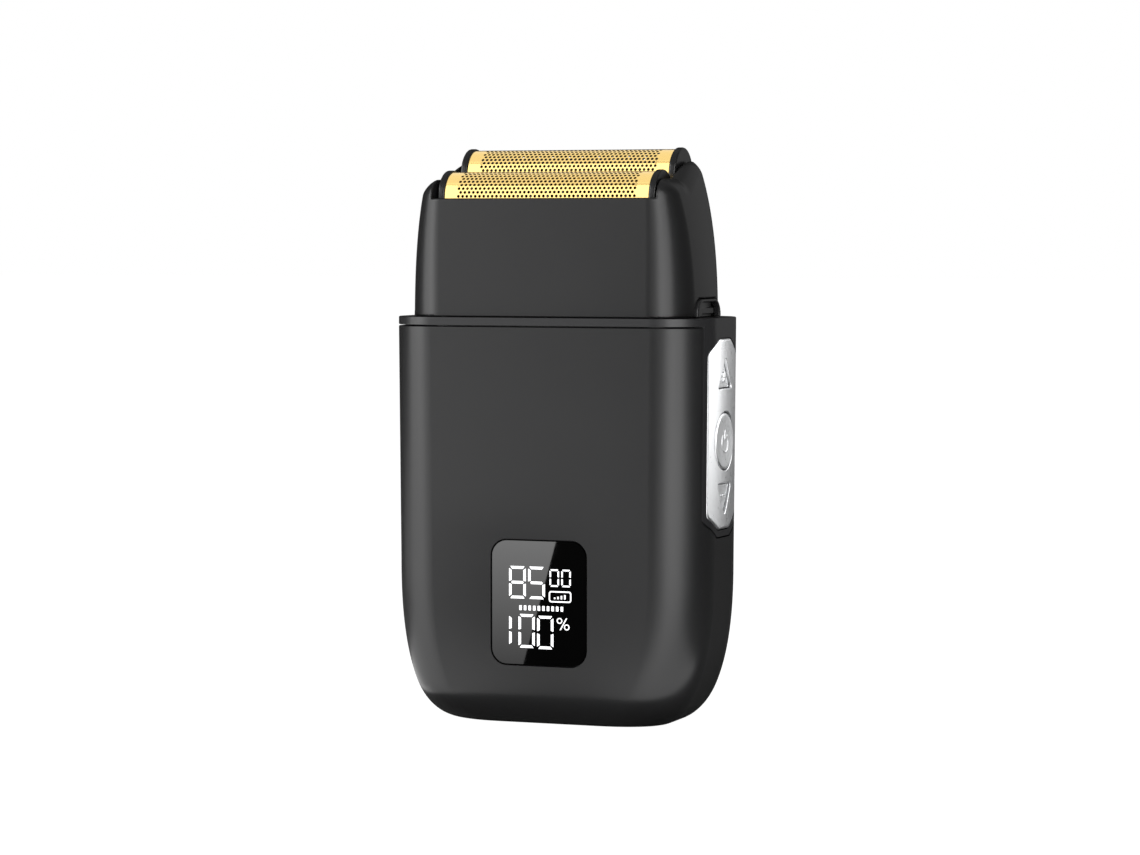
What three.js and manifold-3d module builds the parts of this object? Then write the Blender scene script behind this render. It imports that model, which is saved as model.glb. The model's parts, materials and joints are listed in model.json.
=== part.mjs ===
// Twin-foil electric shaver, in millimetres, +Z up.
// Origin: centre of the flat base. -Y is the display side, +X is the key side.
import * as THREE from "three";
import { mergeVertices } from "three/addons/utils/BufferGeometryUtils.js";
import Module from "manifold-3d";

const wasm = await Module();
wasm.setup();

// Handle
const WIDTH = 62;
const DEPTH = 29;
const PLAN_CORNER = 9.75;
const HOUSING_TOP = 73.2;
const FLANGE_BOTTOM = 73.5;
const FLANGE_TOP = 75;
const SIDE_TAPER = Math.tan(THREE.MathUtils.degToRad(0.5));
const CORNER_WIDTH = 12.2;
const CORNER_HEIGHT = 30;
const CORNER_POWER = 2.4;
const BASE_FILLET = 6.3;
const BASE_FILLET_HEIGHT = 6.8;
const WALL = 2;
const PLAY = 0.3;

// Side tongue, strip and keys
const TONGUE_HALF = 9;
const TONGUE_BOTTOM = 35;
const TONGUE_DEPTH = 2.5;
const STRIP_HALF = 7.9;
const STRIP_BOTTOM = 36.3;
const STRIP_TOP = 71.2;
const STRIP_CHAMFER = { across: 4.9, along: 2.6 };
const STRIP_THICKNESS = 0.8;
const POWER_KEY = { z: 52.4, radius: 5.2 };
const ARROW_HALF = 3.6;
const ARROW_HEIGHT = 5.2;
const UP_KEY_BASE = 62.2;
const DOWN_KEY_BASE = 44.5;
const KEY_MARGIN = 0.25;
const KEY_FACE_X = 30.7;
const KEY_FLANGE_X = 27.3;

// Display
const LENS_WIDTH = 18.5;
const LENS_HEIGHT = 22.9;
const LENS_CORNER = 3;
const LENS_Z = 22.9;
const FRONT = -DEPTH / 2;

// Head
const HEAD_BOTTOM = 75.2;
const HEAD_HALF_X = 27.5;
const HEAD_FRONT = -13.3;
const HEAD_BACK = 13.3;
const HEAD_CORNER = 7;
const HEAD_WALL = 1.4;
const HEAD_SIDE_LEAN = 3.4;
const RELEASE_FACE_X = 28;
const HEAD_TOP = 104.3;
const FRONT_LOBE_TOP = 100.5;
const HEAD_SHOULDER = 4.2;
const MOUTH_HALF = 21.9;
const MOUTH_FRONT = -11.7;
const MOUTH_BACK = 10.6;
const FRONT_RIM = 96.8;
const BACK_RIM = 100.6;
const BOSS_TOP = 78.6;
const FOILS = [
  { side: "front", y: -6, z: 96.8 },
  { side: "rear", y: 5, z: 101 },
];
const FOIL_RADIUS = 4.95;
const FOIL_THICKNESS = 0.3;
const FOIL_HALF = 19.9;
const CAP_THICKNESS = 1.3;
const CUTTER_RADIUS = 4.3;
const CUTTER_HALF = 18.3;
const BLADES = 13;

// Drive
const MOTOR_RADIUS = 10.2;
const THROW = 0.7;
const LOBE_RADIUS = 2;
const BATTERY = { x: -18.6, radius: 7.1, bottom: 12, top: 62 };
const POST_TOP = 84;
const PIN_TOP = 91;

// Top frame's boss, and the posts and columns inside the handle
const BOSS_HALF_X = 25.6;
const BOSS_HALF_Y = 11.5;
const BOSS_CORNER = 7.3;
const BOSS_WALL = 1.5;
const POST_SLOT = { halfX: 3.8, halfY: 1.9 };
const BRACKET_POST_X = 15.5;
const SCREW_SPOTS = [
  { name: "left_front", x: -21.8, y: -7.2 },
  { name: "left_rear", x: -21.8, y: 7.2 },
  { name: "right_front", x: 21.8, y: -7.2 },
  { name: "right_rear", x: 21.8, y: 7.2 },
];
const COLUMN_BOTTOM = 62.8;
const COLUMN_TOP = 68.6;
const BOARD_POST = { x: 12.8, z: 23 };
const USB_POST_X = 7.3;

const PLASTIC = { color: 0x2b2b2d, roughness: 0.6, metalness: 0 };
const SATIN = { color: 0x3c3c3f, roughness: 0.42, metalness: 0 };
const CHROME = { color: 0xd8dadd, roughness: 0.22, metalness: 1 };
const GOLD = { color: 0xe8c47a, roughness: 0.28, metalness: 1 };
const LENS = { color: 0x050506, roughness: 0.06, metalness: 0 };
const BOARD = { color: 0x0f5a34, roughness: 0.5, metalness: 0 };
const STEEL = { color: 0xb4b7bb, roughness: 0.3, metalness: 1 };
const RUBBER = { color: 0x1a1a1a, roughness: 0.85, metalness: 0 };
const CELL = { color: 0x2f5fa8, roughness: 0.4, metalness: 0 };
const NYLON = { color: 0xe4e2da, roughness: 0.5, metalness: 0 };

const shaver = new THREE.Group();

// A closed geometry as a solid that can be joined and cut.
function solid(geometry) {
  const bare = geometry.clone();
  bare.deleteAttribute("normal");
  bare.deleteAttribute("uv");
  const merged = mergeVertices(bare, 1e-4);
  return new wasm.Manifold(
    new wasm.Mesh({
      numProp: 3,
      vertProperties: merged.attributes.position.array,
      triVerts: new Uint32Array(merged.index.array),
    }),
  );
}

function addNode(name, piece, look) {
  const data = piece.getMesh();
  const positions = new THREE.BufferAttribute(new Float32Array(data.vertProperties), 3);
  const geometry = new THREE.BufferGeometry().setAttribute("position", positions);
  geometry.setIndex(new THREE.BufferAttribute(new Uint32Array(data.triVerts), 1));
  geometry.computeVertexNormals();
  const mesh = new THREE.Mesh(geometry, new THREE.MeshStandardMaterial(look));
  mesh.name = name;
  shaver.add(mesh);
}

function joined(pieces) {
  return pieces.reduce((whole, piece) => whole.add(piece));
}

function block(x0, x1, y0, y1, z0, z1) {
  const box = new THREE.BoxGeometry(x1 - x0, y1 - y0, z1 - z0);
  return solid(box.translate((x0 + x1) / 2, (y0 + y1) / 2, (z0 + z1) / 2));
}

function roundedRectangle(halfU, halfV, radius, centreU = 0, centreV = 0) {
  const u = halfU - radius;
  const v = halfV - radius;
  const shape = new THREE.Shape();
  shape.absarc(centreU + u, centreV + v, radius, 0, Math.PI / 2);
  shape.absarc(centreU - u, centreV + v, radius, Math.PI / 2, Math.PI);
  shape.absarc(centreU - u, centreV - v, radius, Math.PI, 1.5 * Math.PI);
  shape.absarc(centreU + u, centreV - v, radius, 1.5 * Math.PI, 2 * Math.PI);
  return shape;
}

function polygon(points) {
  return new THREE.Shape(points.map(([u, v]) => new THREE.Vector2(u, v)));
}

// A half-round outline (U, V) of the given radius standing on straight skirts.
function dome(radius, skirt) {
  const shape = new THREE.Shape();
  shape.moveTo(radius, -skirt);
  shape.lineTo(radius, 0);
  shape.absarc(0, 0, radius, 0, Math.PI);
  shape.lineTo(-radius, -skirt);
  return shape;
}

function extruded(shape, length, steps = 1, curveSegments = 3) {
  return new THREE.ExtrudeGeometry(shape, { depth: length, steps, bevelEnabled: false, curveSegments });
}

// A plan outline (X, Y) raised from z0 to z1.
function prismZ(shape, z0, z1) {
  return solid(extruded(shape, z1 - z0).translate(0, 0, z0));
}

// A side outline (Y, Z) carried along X from x0 to x1.
function prismX(shape, x0, x1, curveSegments = 3) {
  const turn = new THREE.Matrix4().makeBasis(
    new THREE.Vector3(0, 1, 0),
    new THREE.Vector3(0, 0, 1),
    new THREE.Vector3(1, 0, 0),
  );
  return solid(extruded(shape, x1 - x0, 1, curveSegments).applyMatrix4(turn).translate(x0, 0, 0));
}

// A front outline (X, Z) carried along Y from y0 to y1.
function prismY(shape, y0, y1) {
  const turn = new THREE.Matrix4().makeBasis(
    new THREE.Vector3(1, 0, 0),
    new THREE.Vector3(0, 0, 1),
    new THREE.Vector3(0, -1, 0),
  );
  return solid(extruded(shape, y1 - y0).applyMatrix4(turn).translate(0, y1, 0));
}

function rodZ(x, y, radius, z0, z1, sides = 16) {
  const rod = new THREE.CylinderGeometry(radius, radius, z1 - z0, sides);
  return solid(rod.rotateX(Math.PI / 2).translate(x, y, (z0 + z1) / 2));
}

function rodX(y, z, radius, x0, x1, sides = 16) {
  const rod = new THREE.CylinderGeometry(radius, radius, x1 - x0, sides);
  return solid(rod.rotateZ(Math.PI / 2).translate((x0 + x1) / 2, y, z));
}

function rodY(x, z, radius, y0, y1, sides = 16) {
  const rod = new THREE.CylinderGeometry(radius, radius, y1 - y0, sides);
  return solid(rod.translate(x, (y0 + y1) / 2, z));
}

// How far the handle's side has moved in at height z, for a surface set in by inset.
function sideInset(z, inset) {
  const taper = SIDE_TAPER * (HOUSING_TOP - Math.min(HOUSING_TOP, Math.max(z, CORNER_HEIGHT)));
  if (z >= CORNER_HEIGHT) {
    return taper;
  }
  const rise = (CORNER_HEIGHT - z) / (CORNER_HEIGHT - inset);
  const reach = Math.max(0, 1 - rise ** CORNER_POWER) ** (1 / CORNER_POWER);
  return taper + (CORNER_WIDTH - inset) * (1 - reach);
}

// Half the handle's depth at height z, for a surface set in by inset.
function halfDepth(z, inset) {
  const full = DEPTH / 2 - inset;
  if (z >= BASE_FILLET_HEIGHT) {
    return full;
  }
  const rise = (BASE_FILLET_HEIGHT - z) / (BASE_FILLET_HEIGHT - inset);
  return full - (BASE_FILLET - inset) * (1 - Math.sqrt(Math.max(0, 1 - rise * rise)));
}

// The handle's outer form, set in by inset all round, from its base up to topZ.
function handleForm(inset, topZ) {
  const levels = 10;
  const outline = roundedRectangle(WIDTH / 2 - inset, DEPTH / 2 - inset, PLAN_CORNER - inset);
  const form = extruded(outline, levels, levels);
  const place = form.attributes.position;
  for (let i = 0; i < place.count; i++) {
    const level = Math.round(place.getZ(i));
    const angle = (level / (levels - 1)) * (Math.PI / 2);
    const z = level === levels ? topZ : CORNER_HEIGHT - (CORNER_HEIGHT - inset) * Math.cos(angle);
    const x = place.getX(i);
    const shrink = halfDepth(z, inset) / (DEPTH / 2 - inset);
    place.setXYZ(i, Math.sign(x) * (Math.abs(x) - sideInset(z, inset)), place.getY(i) * shrink, z);
  }
  return solid(form);
}

// Outline (Y, Z) of the side tongue, grown by margin.
function tongueOutline(margin) {
  const half = TONGUE_HALF + margin;
  const bottom = TONGUE_BOTTOM - margin;
  const top = FLANGE_BOTTOM + 1;
  const chamferTop = bottom + STRIP_CHAMFER.along + 0.6;
  const chamferIn = half - STRIP_CHAMFER.across - 0.8;
  return polygon([
    [-half, top],
    [-half, chamferTop],
    [-chamferIn, bottom],
    [chamferIn, bottom],
    [half, chamferTop],
    [half, top],
  ]);
}

// Outline (Y, Z) of the key strip, grown by margin.
function stripOutline(margin) {
  const half = STRIP_HALF + margin;
  const low = STRIP_BOTTOM - margin;
  const high = STRIP_TOP + margin;
  const inner = half - STRIP_CHAMFER.across;
  return polygon([
    [-inner, low],
    [inner, low],
    [half, low + STRIP_CHAMFER.along],
    [half, high - STRIP_CHAMFER.along],
    [inner, high],
    [-inner, high],
    [-half, high - STRIP_CHAMFER.along],
    [-half, low + STRIP_CHAMFER.along],
  ]);
}

// Outline (Y, Z) of an arrow key with its base at baseZ, pointing up (1) or down (-1), grown by margin.
function arrowOutline(baseZ, direction, margin) {
  const half = ARROW_HALF + 1.7 * margin;
  const base = baseZ - direction * margin;
  const apex = baseZ + direction * (ARROW_HEIGHT + 2.1 * margin);
  const corners = [
    [-half, base],
    [half, base],
    [0, apex],
  ];
  return polygon(direction > 0 ? corners : corners.reverse());
}

function makeHousing() {
  let cup = handleForm(0, HOUSING_TOP).subtract(handleForm(WALL, HOUSING_TOP + 1));
  for (const { x, y } of SCREW_SPOTS) {
    const reach = Math.sign(y) * (DEPTH / 2 - 1);
    const rib = block(x - 1, x + 1, Math.min(y, reach), Math.max(y, reach), COLUMN_BOTTOM, COLUMN_TOP);
    cup = cup.add(rodZ(x, y, 2.4, COLUMN_BOTTOM, COLUMN_TOP)).add(rib);
  }
  for (const side of [-1, 1]) {
    cup = cup.add(rodY(side * BOARD_POST.x, BOARD_POST.z, 1.7, FRONT + 1, -10.1));
    cup = cup.add(rodZ(side * USB_POST_X, 0, 1.6, 1, 8.1));
  }
  const windowX = LENS_WIDTH / 2;
  const windowZ = LENS_HEIGHT / 2;
  const windowFront = roundedRectangle(windowX + 0.2, windowZ + 0.2, LENS_CORNER + 0.2, 0, LENS_Z);
  const windowBack = roundedRectangle(windowX - 1, windowZ - 1, LENS_CORNER - 1, 0, LENS_Z);
  const port = roundedRectangle(4.75, 1.9, 1.85);
  const cuts = [
    prismY(windowFront, FRONT - 1, FRONT + 1.35),
    prismY(windowBack, FRONT - 1, FRONT + WALL + 0.2),
    prismX(tongueOutline(PLAY), 24, WIDTH / 2 + 1),
    prismZ(port, -1, 3),
  ];
  for (const { x, y } of SCREW_SPOTS) {
    cuts.push(rodZ(x, y, 1.15, COLUMN_BOTTOM + 0.7, COLUMN_TOP + 1));
  }
  for (const side of [-1, 1]) {
    cuts.push(rodY(side * BOARD_POST.x, BOARD_POST.z, 0.75, -13.3, -9));
    cuts.push(rodZ(side * USB_POST_X, 0, 0.75, 2.6, 9));
  }
  return cup.subtract(joined(cuts));
}

function makeTopFrame() {
  const flange = prismZ(roundedRectangle(WIDTH / 2, DEPTH / 2, PLAN_CORNER), FLANGE_BOTTOM, FLANGE_TOP);
  const boss = prismZ(roundedRectangle(BOSS_HALF_X, BOSS_HALF_Y, BOSS_CORNER), 69, BOSS_TOP);
  const inside = roundedRectangle(BOSS_HALF_X - BOSS_WALL, BOSS_HALF_Y - BOSS_WALL, BOSS_CORNER - BOSS_WALL);
  const skin = handleForm(0, HOUSING_TOP + 0.8).subtract(handleForm(TONGUE_DEPTH, HOUSING_TOP + 2));
  const tongue = skin.intersect(prismX(tongueOutline(0), 24, WIDTH / 2 + 1));
  let frame = flange.add(boss).subtract(prismZ(inside, 68, BOSS_TOP - BOSS_WALL)).add(tongue);
  for (const { x, y } of SCREW_SPOTS) {
    frame = frame.add(rodZ(x, y, 2.3, 69, BOSS_TOP));
  }
  for (const side of [-1, 1]) {
    frame = frame.add(rodZ(side * BRACKET_POST_X, 0, 2.2, 65.6, BOSS_TOP - 0.5));
  }
  for (const z of [60.05, 37.1]) {
    frame = frame.add(rodX(0, z, 1.1, 24.5, WIDTH / 2 - 1.6, 12));
  }
  const pocket = handleForm(-1, HOUSING_TOP).subtract(handleForm(STRIP_THICKNESS + 0.25, HOUSING_TOP + 1));
  const cuts = [
    pocket.intersect(prismX(stripOutline(0.15), 27, WIDTH / 2 + 2)),
    rodX(0, POWER_KEY.z, POWER_KEY.radius + KEY_MARGIN, 26, 32, 32),
    prismX(arrowOutline(UP_KEY_BASE, 1, KEY_MARGIN), 26, 32),
    prismX(arrowOutline(DOWN_KEY_BASE, -1, KEY_MARGIN), 26, 32),
  ];
  for (const { y } of FOILS) {
    const slot = roundedRectangle(POST_SLOT.halfX, POST_SLOT.halfY, 1.5, 0, y);
    cuts.push(prismZ(slot, BOSS_TOP - 3, BOSS_TOP + 1));
  }
  for (const { x, y } of SCREW_SPOTS) {
    cuts.push(rodZ(x, y, 1.2, 68, 80));
    cuts.push(rodZ(x, y, 2.15, 77.6, 80));
  }
  for (const side of [-1, 1]) {
    cuts.push(rodZ(side * BRACKET_POST_X, 0, 0.8, 65, 71));
    const low = Math.min(side * 23, side * 27);
    cuts.push(block(low, low + 4, -4.4, 4.4, 75.3, 77.1));
  }
  for (const z of [60.05, 37.1]) {
    cuts.push(rodX(0, z, 0.65, 24, 28.2, 12));
  }
  return frame.subtract(joined(cuts));
}

function makeKeyStrip() {
  const plate = handleForm(0.05, HOUSING_TOP).subtract(handleForm(STRIP_THICKNESS, HOUSING_TOP + 1));
  return plate
    .intersect(prismX(stripOutline(0), 27, WIDTH / 2 + 1))
    .subtract(rodX(0, POWER_KEY.z, POWER_KEY.radius + KEY_MARGIN, 26, 32, 32))
    .subtract(prismX(arrowOutline(UP_KEY_BASE, 1, KEY_MARGIN), 26, 32))
    .subtract(prismX(arrowOutline(DOWN_KEY_BASE, -1, KEY_MARGIN), 26, 32));
}

// A key: its face, a wider flange that keeps it behind the tongue, and a stem to its switch.
function makeRoundKey() {
  return joined([
    rodX(0, POWER_KEY.z, POWER_KEY.radius, KEY_FLANGE_X, KEY_FACE_X, 32),
    rodX(0, POWER_KEY.z, POWER_KEY.radius + 0.6, KEY_FLANGE_X, KEY_FLANGE_X + 0.7, 32),
    rodX(0, POWER_KEY.z, 1.3, 26.3, KEY_FLANGE_X + 0.3, 12),
  ]);
}

function makeArrowKey(baseZ, direction) {
  const middle = baseZ + direction * 1.9;
  return joined([
    prismX(arrowOutline(baseZ, direction, 0), KEY_FLANGE_X, KEY_FACE_X),
    prismX(arrowOutline(baseZ, direction, 0.4), KEY_FLANGE_X, KEY_FLANGE_X + 0.7),
    rodX(0, middle, 1, 26.3, KEY_FLANGE_X + 0.3, 12),
  ]);
}

function makeKeyBoard() {
  let board = block(22.6, 24.2, -6.5, 6.5, 35.8, 57.5).add(block(22.6, 24.2, -4.3, 4.3, 57, 66.4));
  for (const z of [POWER_KEY.z, UP_KEY_BASE + 1.9, DOWN_KEY_BASE - 1.9]) {
    board = board.add(block(24, 25.2, -2, 2, z - 2, z + 2)).add(rodX(0, z, 0.9, 25, 25.6, 12));
  }
  return board.subtract(rodX(0, 60.05, 0.8, 22, 25, 12)).subtract(rodX(0, 37.1, 0.8, 22, 25, 12));
}

function makeScrewX(z) {
  return rodX(0, z, 0.5, 22, 27.6, 12).add(rodX(0, z, 1.3, 21.5, 22.5, 16));
}

function makeScrewZ(x, y, radius, headRadius, tip, headLow, headHigh) {
  const low = Math.min(headLow, headHigh);
  const shank = tip < low ? rodZ(x, y, radius, tip, headHigh, 12) : rodZ(x, y, radius, headLow, tip, 12);
  const slotZ = tip < low ? headHigh : headLow;
  const slot = block(x - 0.2, x + 0.2, y - headRadius * 0.7, y + headRadius * 0.7, slotZ - 0.4, slotZ + 0.4);
  return shank.add(rodZ(x, y, headRadius, headLow, headHigh)).subtract(slot);
}

function makeLens() {
  const outline = roundedRectangle(LENS_WIDTH / 2, LENS_HEIGHT / 2, LENS_CORNER, 0, LENS_Z);
  return prismY(outline, FRONT + 0.05, FRONT + 1.2);
}

function makeDisplayModule() {
  const outline = roundedRectangle(8, 10.2, 0.6, 0, LENS_Z);
  return prismY(outline, -12.2, -10.3);
}

function makeMainBoard() {
  const board = joined([
    block(-14.6, 14.6, -9.9, -8.3, 10.8, 35.8),
    block(-3.5, 3.5, -8.4, -7.3, 22, 29),
    block(-11, -6, -8.4, -5.9, 13, 18),
    block(5, 9, -8.4, -6.9, 15, 21),
    block(8, 12, -8.4, -6.4, 27, 31),
  ]);
  const side = BOARD_POST.x;
  return board
    .subtract(rodY(side, BOARD_POST.z, 1, -10.5, -8))
    .subtract(rodY(-side, BOARD_POST.z, 1, -10.5, -8));
}

function makeBoardScrew(side) {
  const x = side * BOARD_POST.x;
  return rodY(x, BOARD_POST.z, 0.6, -12.6, -8, 12).add(rodY(x, BOARD_POST.z, 1.5, -8.1, -7.1));
}

function makeUsbPort() {
  const shell = prismZ(roundedRectangle(4.45, 1.6, 1.55), 0.6, 8.1);
  const mouth = prismZ(roundedRectangle(4.1, 1.25, 1.2), 0, 6.6);
  return shell.subtract(mouth).add(block(-3.3, 3.3, -0.35, 0.35, 1.4, 7));
}

function makeUsbBoard() {
  const board = block(-9.6, 9.6, -6.4, 6.4, 8.4, 9.9);
  return board.subtract(rodZ(USB_POST_X, 0, 1, 8, 11)).subtract(rodZ(-USB_POST_X, 0, 1, 8, 11));
}

function makeBattery() {
  const { x, radius, bottom, top } = BATTERY;
  return rodZ(x, 0, radius, bottom, top - 0.8, 28).add(rodZ(x, 0, 2.6, top - 1, top, 16));
}

function makeCradle() {
  const { x, radius, bottom, top } = BATTERY;
  const shell = block(x - radius - 0.6, x + radius + 0.4, 1.5, 8.4, bottom + 6, top - 4);
  return shell.subtract(rodZ(x, 0, radius + 0.3, bottom, top, 28));
}

function makeMotor() {
  const can = rodZ(0, 0, MOTOR_RADIUS, 37, 62.2, 32);
  const flats = block(-12, 12, -9.6, 9.6, 36, 64);
  const bearing = rodZ(0, 0, 3, 62, 63.4, 20);
  const holes = [rodZ(0, 0, 1.15, 58, 64)];
  for (const side of [-1, 1]) {
    holes.push(rodZ(side * 6.5, 0, 0.85, 59, 63));
  }
  return can.intersect(flats).add(bearing).subtract(joined(holes));
}

function makeMotorBracket() {
  const plate = prismZ(roundedRectangle(18.5, 7, 3), 63.6, 65.3);
  const holes = [rodZ(0, 0, 3.4, 63, 66, 20)];
  for (const side of [-1, 1]) {
    holes.push(rodZ(side * 6.5, 0, 1.05, 63, 66));
    holes.push(rodZ(side * BRACKET_POST_X, 0, 1.05, 63, 66));
  }
  return plate.subtract(joined(holes)).subtract(block(-20, -11, -8, 0.5, 63, 64.1));
}

function makeShaft() {
  return rodZ(0, 0, 1, 58.4, 76.2, 16);
}

// Two lobes set opposite each other on one hub.
function makeEccentric() {
  const hub = rodZ(0, 0, 1.9, 66.4, 75.9, 20);
  const low = rodZ(THROW, 0, LOBE_RADIUS + 0.3, 70.1, 71.9, 24);
  const high = rodZ(-THROW, 0, LOBE_RADIUS + 0.3, 73.2, 75, 24);
  return joined([hub, low, high]).subtract(rodZ(0, 0, 1.1, 66, 77));
}

function makeGuidePlate() {
  const plate = prismZ(roundedRectangle(18.5, 8.6, 2), 67.9, 69.4);
  const holes = [rodZ(0, 0, 3.4, 67, 70, 20)];
  for (const side of [-1, 1]) {
    holes.push(rodZ(side * BRACKET_POST_X, 0, 2.5, 67, 70));
  }
  return plate.subtract(joined(holes));
}

// A slotted plate round one lobe of the eccentric, with the post that carries a cutter.
function makeDriver(plateZ, post, cutterZ) {
  const reach = post.y > 0 ? 7 : 8;
  const plate = prismZ(roundedRectangle(6, reach - 0.1, 1.5), plateZ, plateZ + 1.5);
  const away = post.y > 0 ? [-reach - 1, -4.4] : [4.4, reach + 1];
  const window = rodZ(0, 0, LOBE_RADIUS + 0.3 + 2 * THROW + 0.25, plateZ - 1, plateZ + 3, 28);
  const rise = cutterZ - FOILS[0].z;
  return joined([
    plate.subtract(block(-7, 7, away[0], away[1], plateZ - 1, plateZ + 3)).subtract(window),
    block(-2.6, 2.6, post.y - 1.1, post.y + 1.1, plateZ + 0.5, POST_TOP + rise),
    rodZ(0, post.y, 1, POST_TOP + rise - 1, PIN_TOP + rise, 16),
  ]);
}

function makeSeal(y) {
  const ring = roundedRectangle(POST_SLOT.halfX + 1.2, POST_SLOT.halfY + 1.1, 2, 0, y);
  const opening = roundedRectangle(POST_SLOT.halfX - 0.1, POST_SLOT.halfY - 0.3, 1.2, 0, y);
  return prismZ(ring, BOSS_TOP + 0.2, BOSS_TOP + 1.4).subtract(prismZ(opening, BOSS_TOP, BOSS_TOP + 2));
}

// A row of arched blades on a rail, with a socket that rides on the driver's pin.
function makeCutter({ y, z }) {
  const blade = prismX(dome(CUTTER_RADIUS, 2.4), -0.3, 0.3, 4);
  const pitch = (2 * CUTTER_HALF - 0.6) / (BLADES - 1);
  const pieces = [
    block(-CUTTER_HALF, CUTTER_HALF, y - 2.7, y + 2.7, z - 3.4, z - 1.6),
    block(-3.6, 3.6, y - 2.4, y + 2.4, z - 8.3, z - 2.6),
  ];
  for (let i = 0; i < BLADES; i++) {
    pieces.push(blade.translate([(i - (BLADES - 1) / 2) * pitch, y, z]));
  }
  return joined(pieces).subtract(rodZ(0, y, 1.3, z - 9, z - 3.9));
}

// A round-wire coil spring standing at (x, y) from z0 to z1.
function makeSpring(x, y, radius, wire, z0, z1, turns) {
  const low = z0 + wire;
  const high = z1 - wire;
  const points = [];
  const perTurn = 6;
  for (let i = 0; i <= turns * perTurn; i++) {
    const angle = (i / perTurn) * 2 * Math.PI;
    const z = low + ((high - low) * i) / (turns * perTurn);
    points.push(new THREE.Vector3(x + radius * Math.cos(angle), y + radius * Math.sin(angle), z));
  }
  const section = new THREE.Shape();
  section.absarc(0, 0, wire, 0, 2 * Math.PI);
  const path = new THREE.CatmullRomCurve3(points);
  const coil = new THREE.ExtrudeGeometry(section, {
    extrudePath: path,
    steps: turns * perTurn,
    curveSegments: 2,
    bevelEnabled: false,
  });
  return solid(coil);
}

// The arched foil, thin sheet over the cutter with straight skirts.
function makeFoil({ y, z }) {
  const skirt = 2.6;
  const outer = dome(FOIL_RADIUS, skirt);
  const inner = dome(FOIL_RADIUS - FOIL_THICKNESS, skirt + 1);
  const arch = prismX(outer, -FOIL_HALF, FOIL_HALF, 6);
  const hollow = prismX(inner, -FOIL_HALF - 1, FOIL_HALF + 1, 6);
  return arch.subtract(hollow).translate([0, y, z]);
}

// The black cassette that holds a foil: two D-shaped end caps on two low rails.
function makeCassette({ y, z }) {
  const low = -6.4;
  const outline = dome(FOIL_RADIUS + 0.25, -low);
  const inner = FOIL_HALF + 0.1;
  const pieces = [prismX(outline, inner, inner + CAP_THICKNESS), prismX(outline, -inner - CAP_THICKNESS, -inner)];
  for (const side of [-1, 1]) {
    const near = side * (FOIL_RADIUS - 0.05);
    const far = side * (FOIL_RADIUS + 0.25);
    const y0 = Math.min(near, far);
    const rail = block(-inner - 0.5, inner + 0.5, y0, y0 + 0.3, low, -2.9);
    pieces.push(rail);
    pieces.push(block(side > 0 ? 19.2 : -21.3, side > 0 ? 21.3 : -19.2, -4, 4, low, low + 1.2));
  }
  return joined(pieces).translate([0, y, z]);
}

// Head cover: hollow shell whose side walls rise in a front and a rear lobe.
function makeHeadCover() {
  const outer = headForm(0, HEAD_BOTTOM, HEAD_TOP + 2);
  const inner = headForm(HEAD_WALL, HEAD_BOTTOM - 1, 93);
  const mouth = prismZ(mouthOutline(), 80, HEAD_TOP + 3);
  const cuts = [
    inner,
    mouth,
    block(-MOUTH_HALF, MOUTH_HALF, HEAD_FRONT - 2, MOUTH_FRONT + 3, FRONT_RIM, HEAD_TOP + 3),
    block(-MOUTH_HALF, MOUTH_HALF, MOUTH_BACK - 3, HEAD_BACK + 2, BACK_RIM, HEAD_TOP + 3),
    releaseNotch(0.25),
  ];
  const front = frontOutline();
  const side = lobeOutline();
  let cover = outer.intersect(prismY(front, -20, 20)).intersect(prismX(side, -40, 40));
  cover = cover.subtract(joined(cuts));
  for (const end of [-1, 1]) {
    const near = end * 19.3;
    for (const foil of FOILS) {
      const ledge = foil.z - 10.6;
      const far = end * 26.3;
      const shelf = block(Math.min(near, far), Math.max(near, far), foil.y - 2.4, foil.y + 2.4, ledge - 1.4, ledge);
      cover = cover.add(shelf);
    }
  }
  return cover;
}

function mouthOutline() {
  const middle = (MOUTH_FRONT + MOUTH_BACK) / 2;
  const half = (MOUTH_BACK - MOUTH_FRONT) / 2;
  return roundedRectangle(MOUTH_HALF, half, 1, 0, middle);
}

// The head's plan outline drawn in towards the top, most of all at the back.
function headForm(inset, bottomZ, topZ) {
  const outline = roundedRectangle(HEAD_HALF_X - inset, HEAD_BACK - inset, HEAD_CORNER - inset);
  const form = extruded(outline, 1, 4);
  const place = form.attributes.position;
  for (let i = 0; i < place.count; i++) {
    const z = bottomZ + (topZ - bottomZ) * place.getZ(i);
    const rise = Math.max(0, (z - HEAD_BOTTOM) / (HEAD_TOP - HEAD_BOTTOM));
    const x = place.getX(i);
    const y = place.getY(i);
    const lean = y > 0 ? 2.4 * rise * rise : 0.3 * rise;
    const pull = HEAD_SIDE_LEAN * rise * rise;
    place.setXYZ(i, x - Math.sign(x) * pull, y - Math.sign(y) * lean * Math.min(1, Math.abs(y) / 6), z);
  }
  return solid(form);
}

// Front view (X, Z): upright sides with round shoulders.
function frontOutline() {
  const half = HEAD_HALF_X + 1;
  const inner = HEAD_HALF_X - HEAD_SIDE_LEAN + 1.6 - HEAD_SHOULDER;
  const spring = HEAD_TOP - HEAD_SHOULDER;
  const shape = new THREE.Shape();
  shape.moveTo(-half, HEAD_BOTTOM - 1);
  shape.lineTo(half, HEAD_BOTTOM - 1);
  shape.lineTo(inner + HEAD_SHOULDER, spring);
  shape.absarc(inner, spring, HEAD_SHOULDER, 0, Math.PI / 2);
  shape.absarc(-inner, spring, HEAD_SHOULDER, Math.PI / 2, Math.PI);
  return shape;
}

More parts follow.
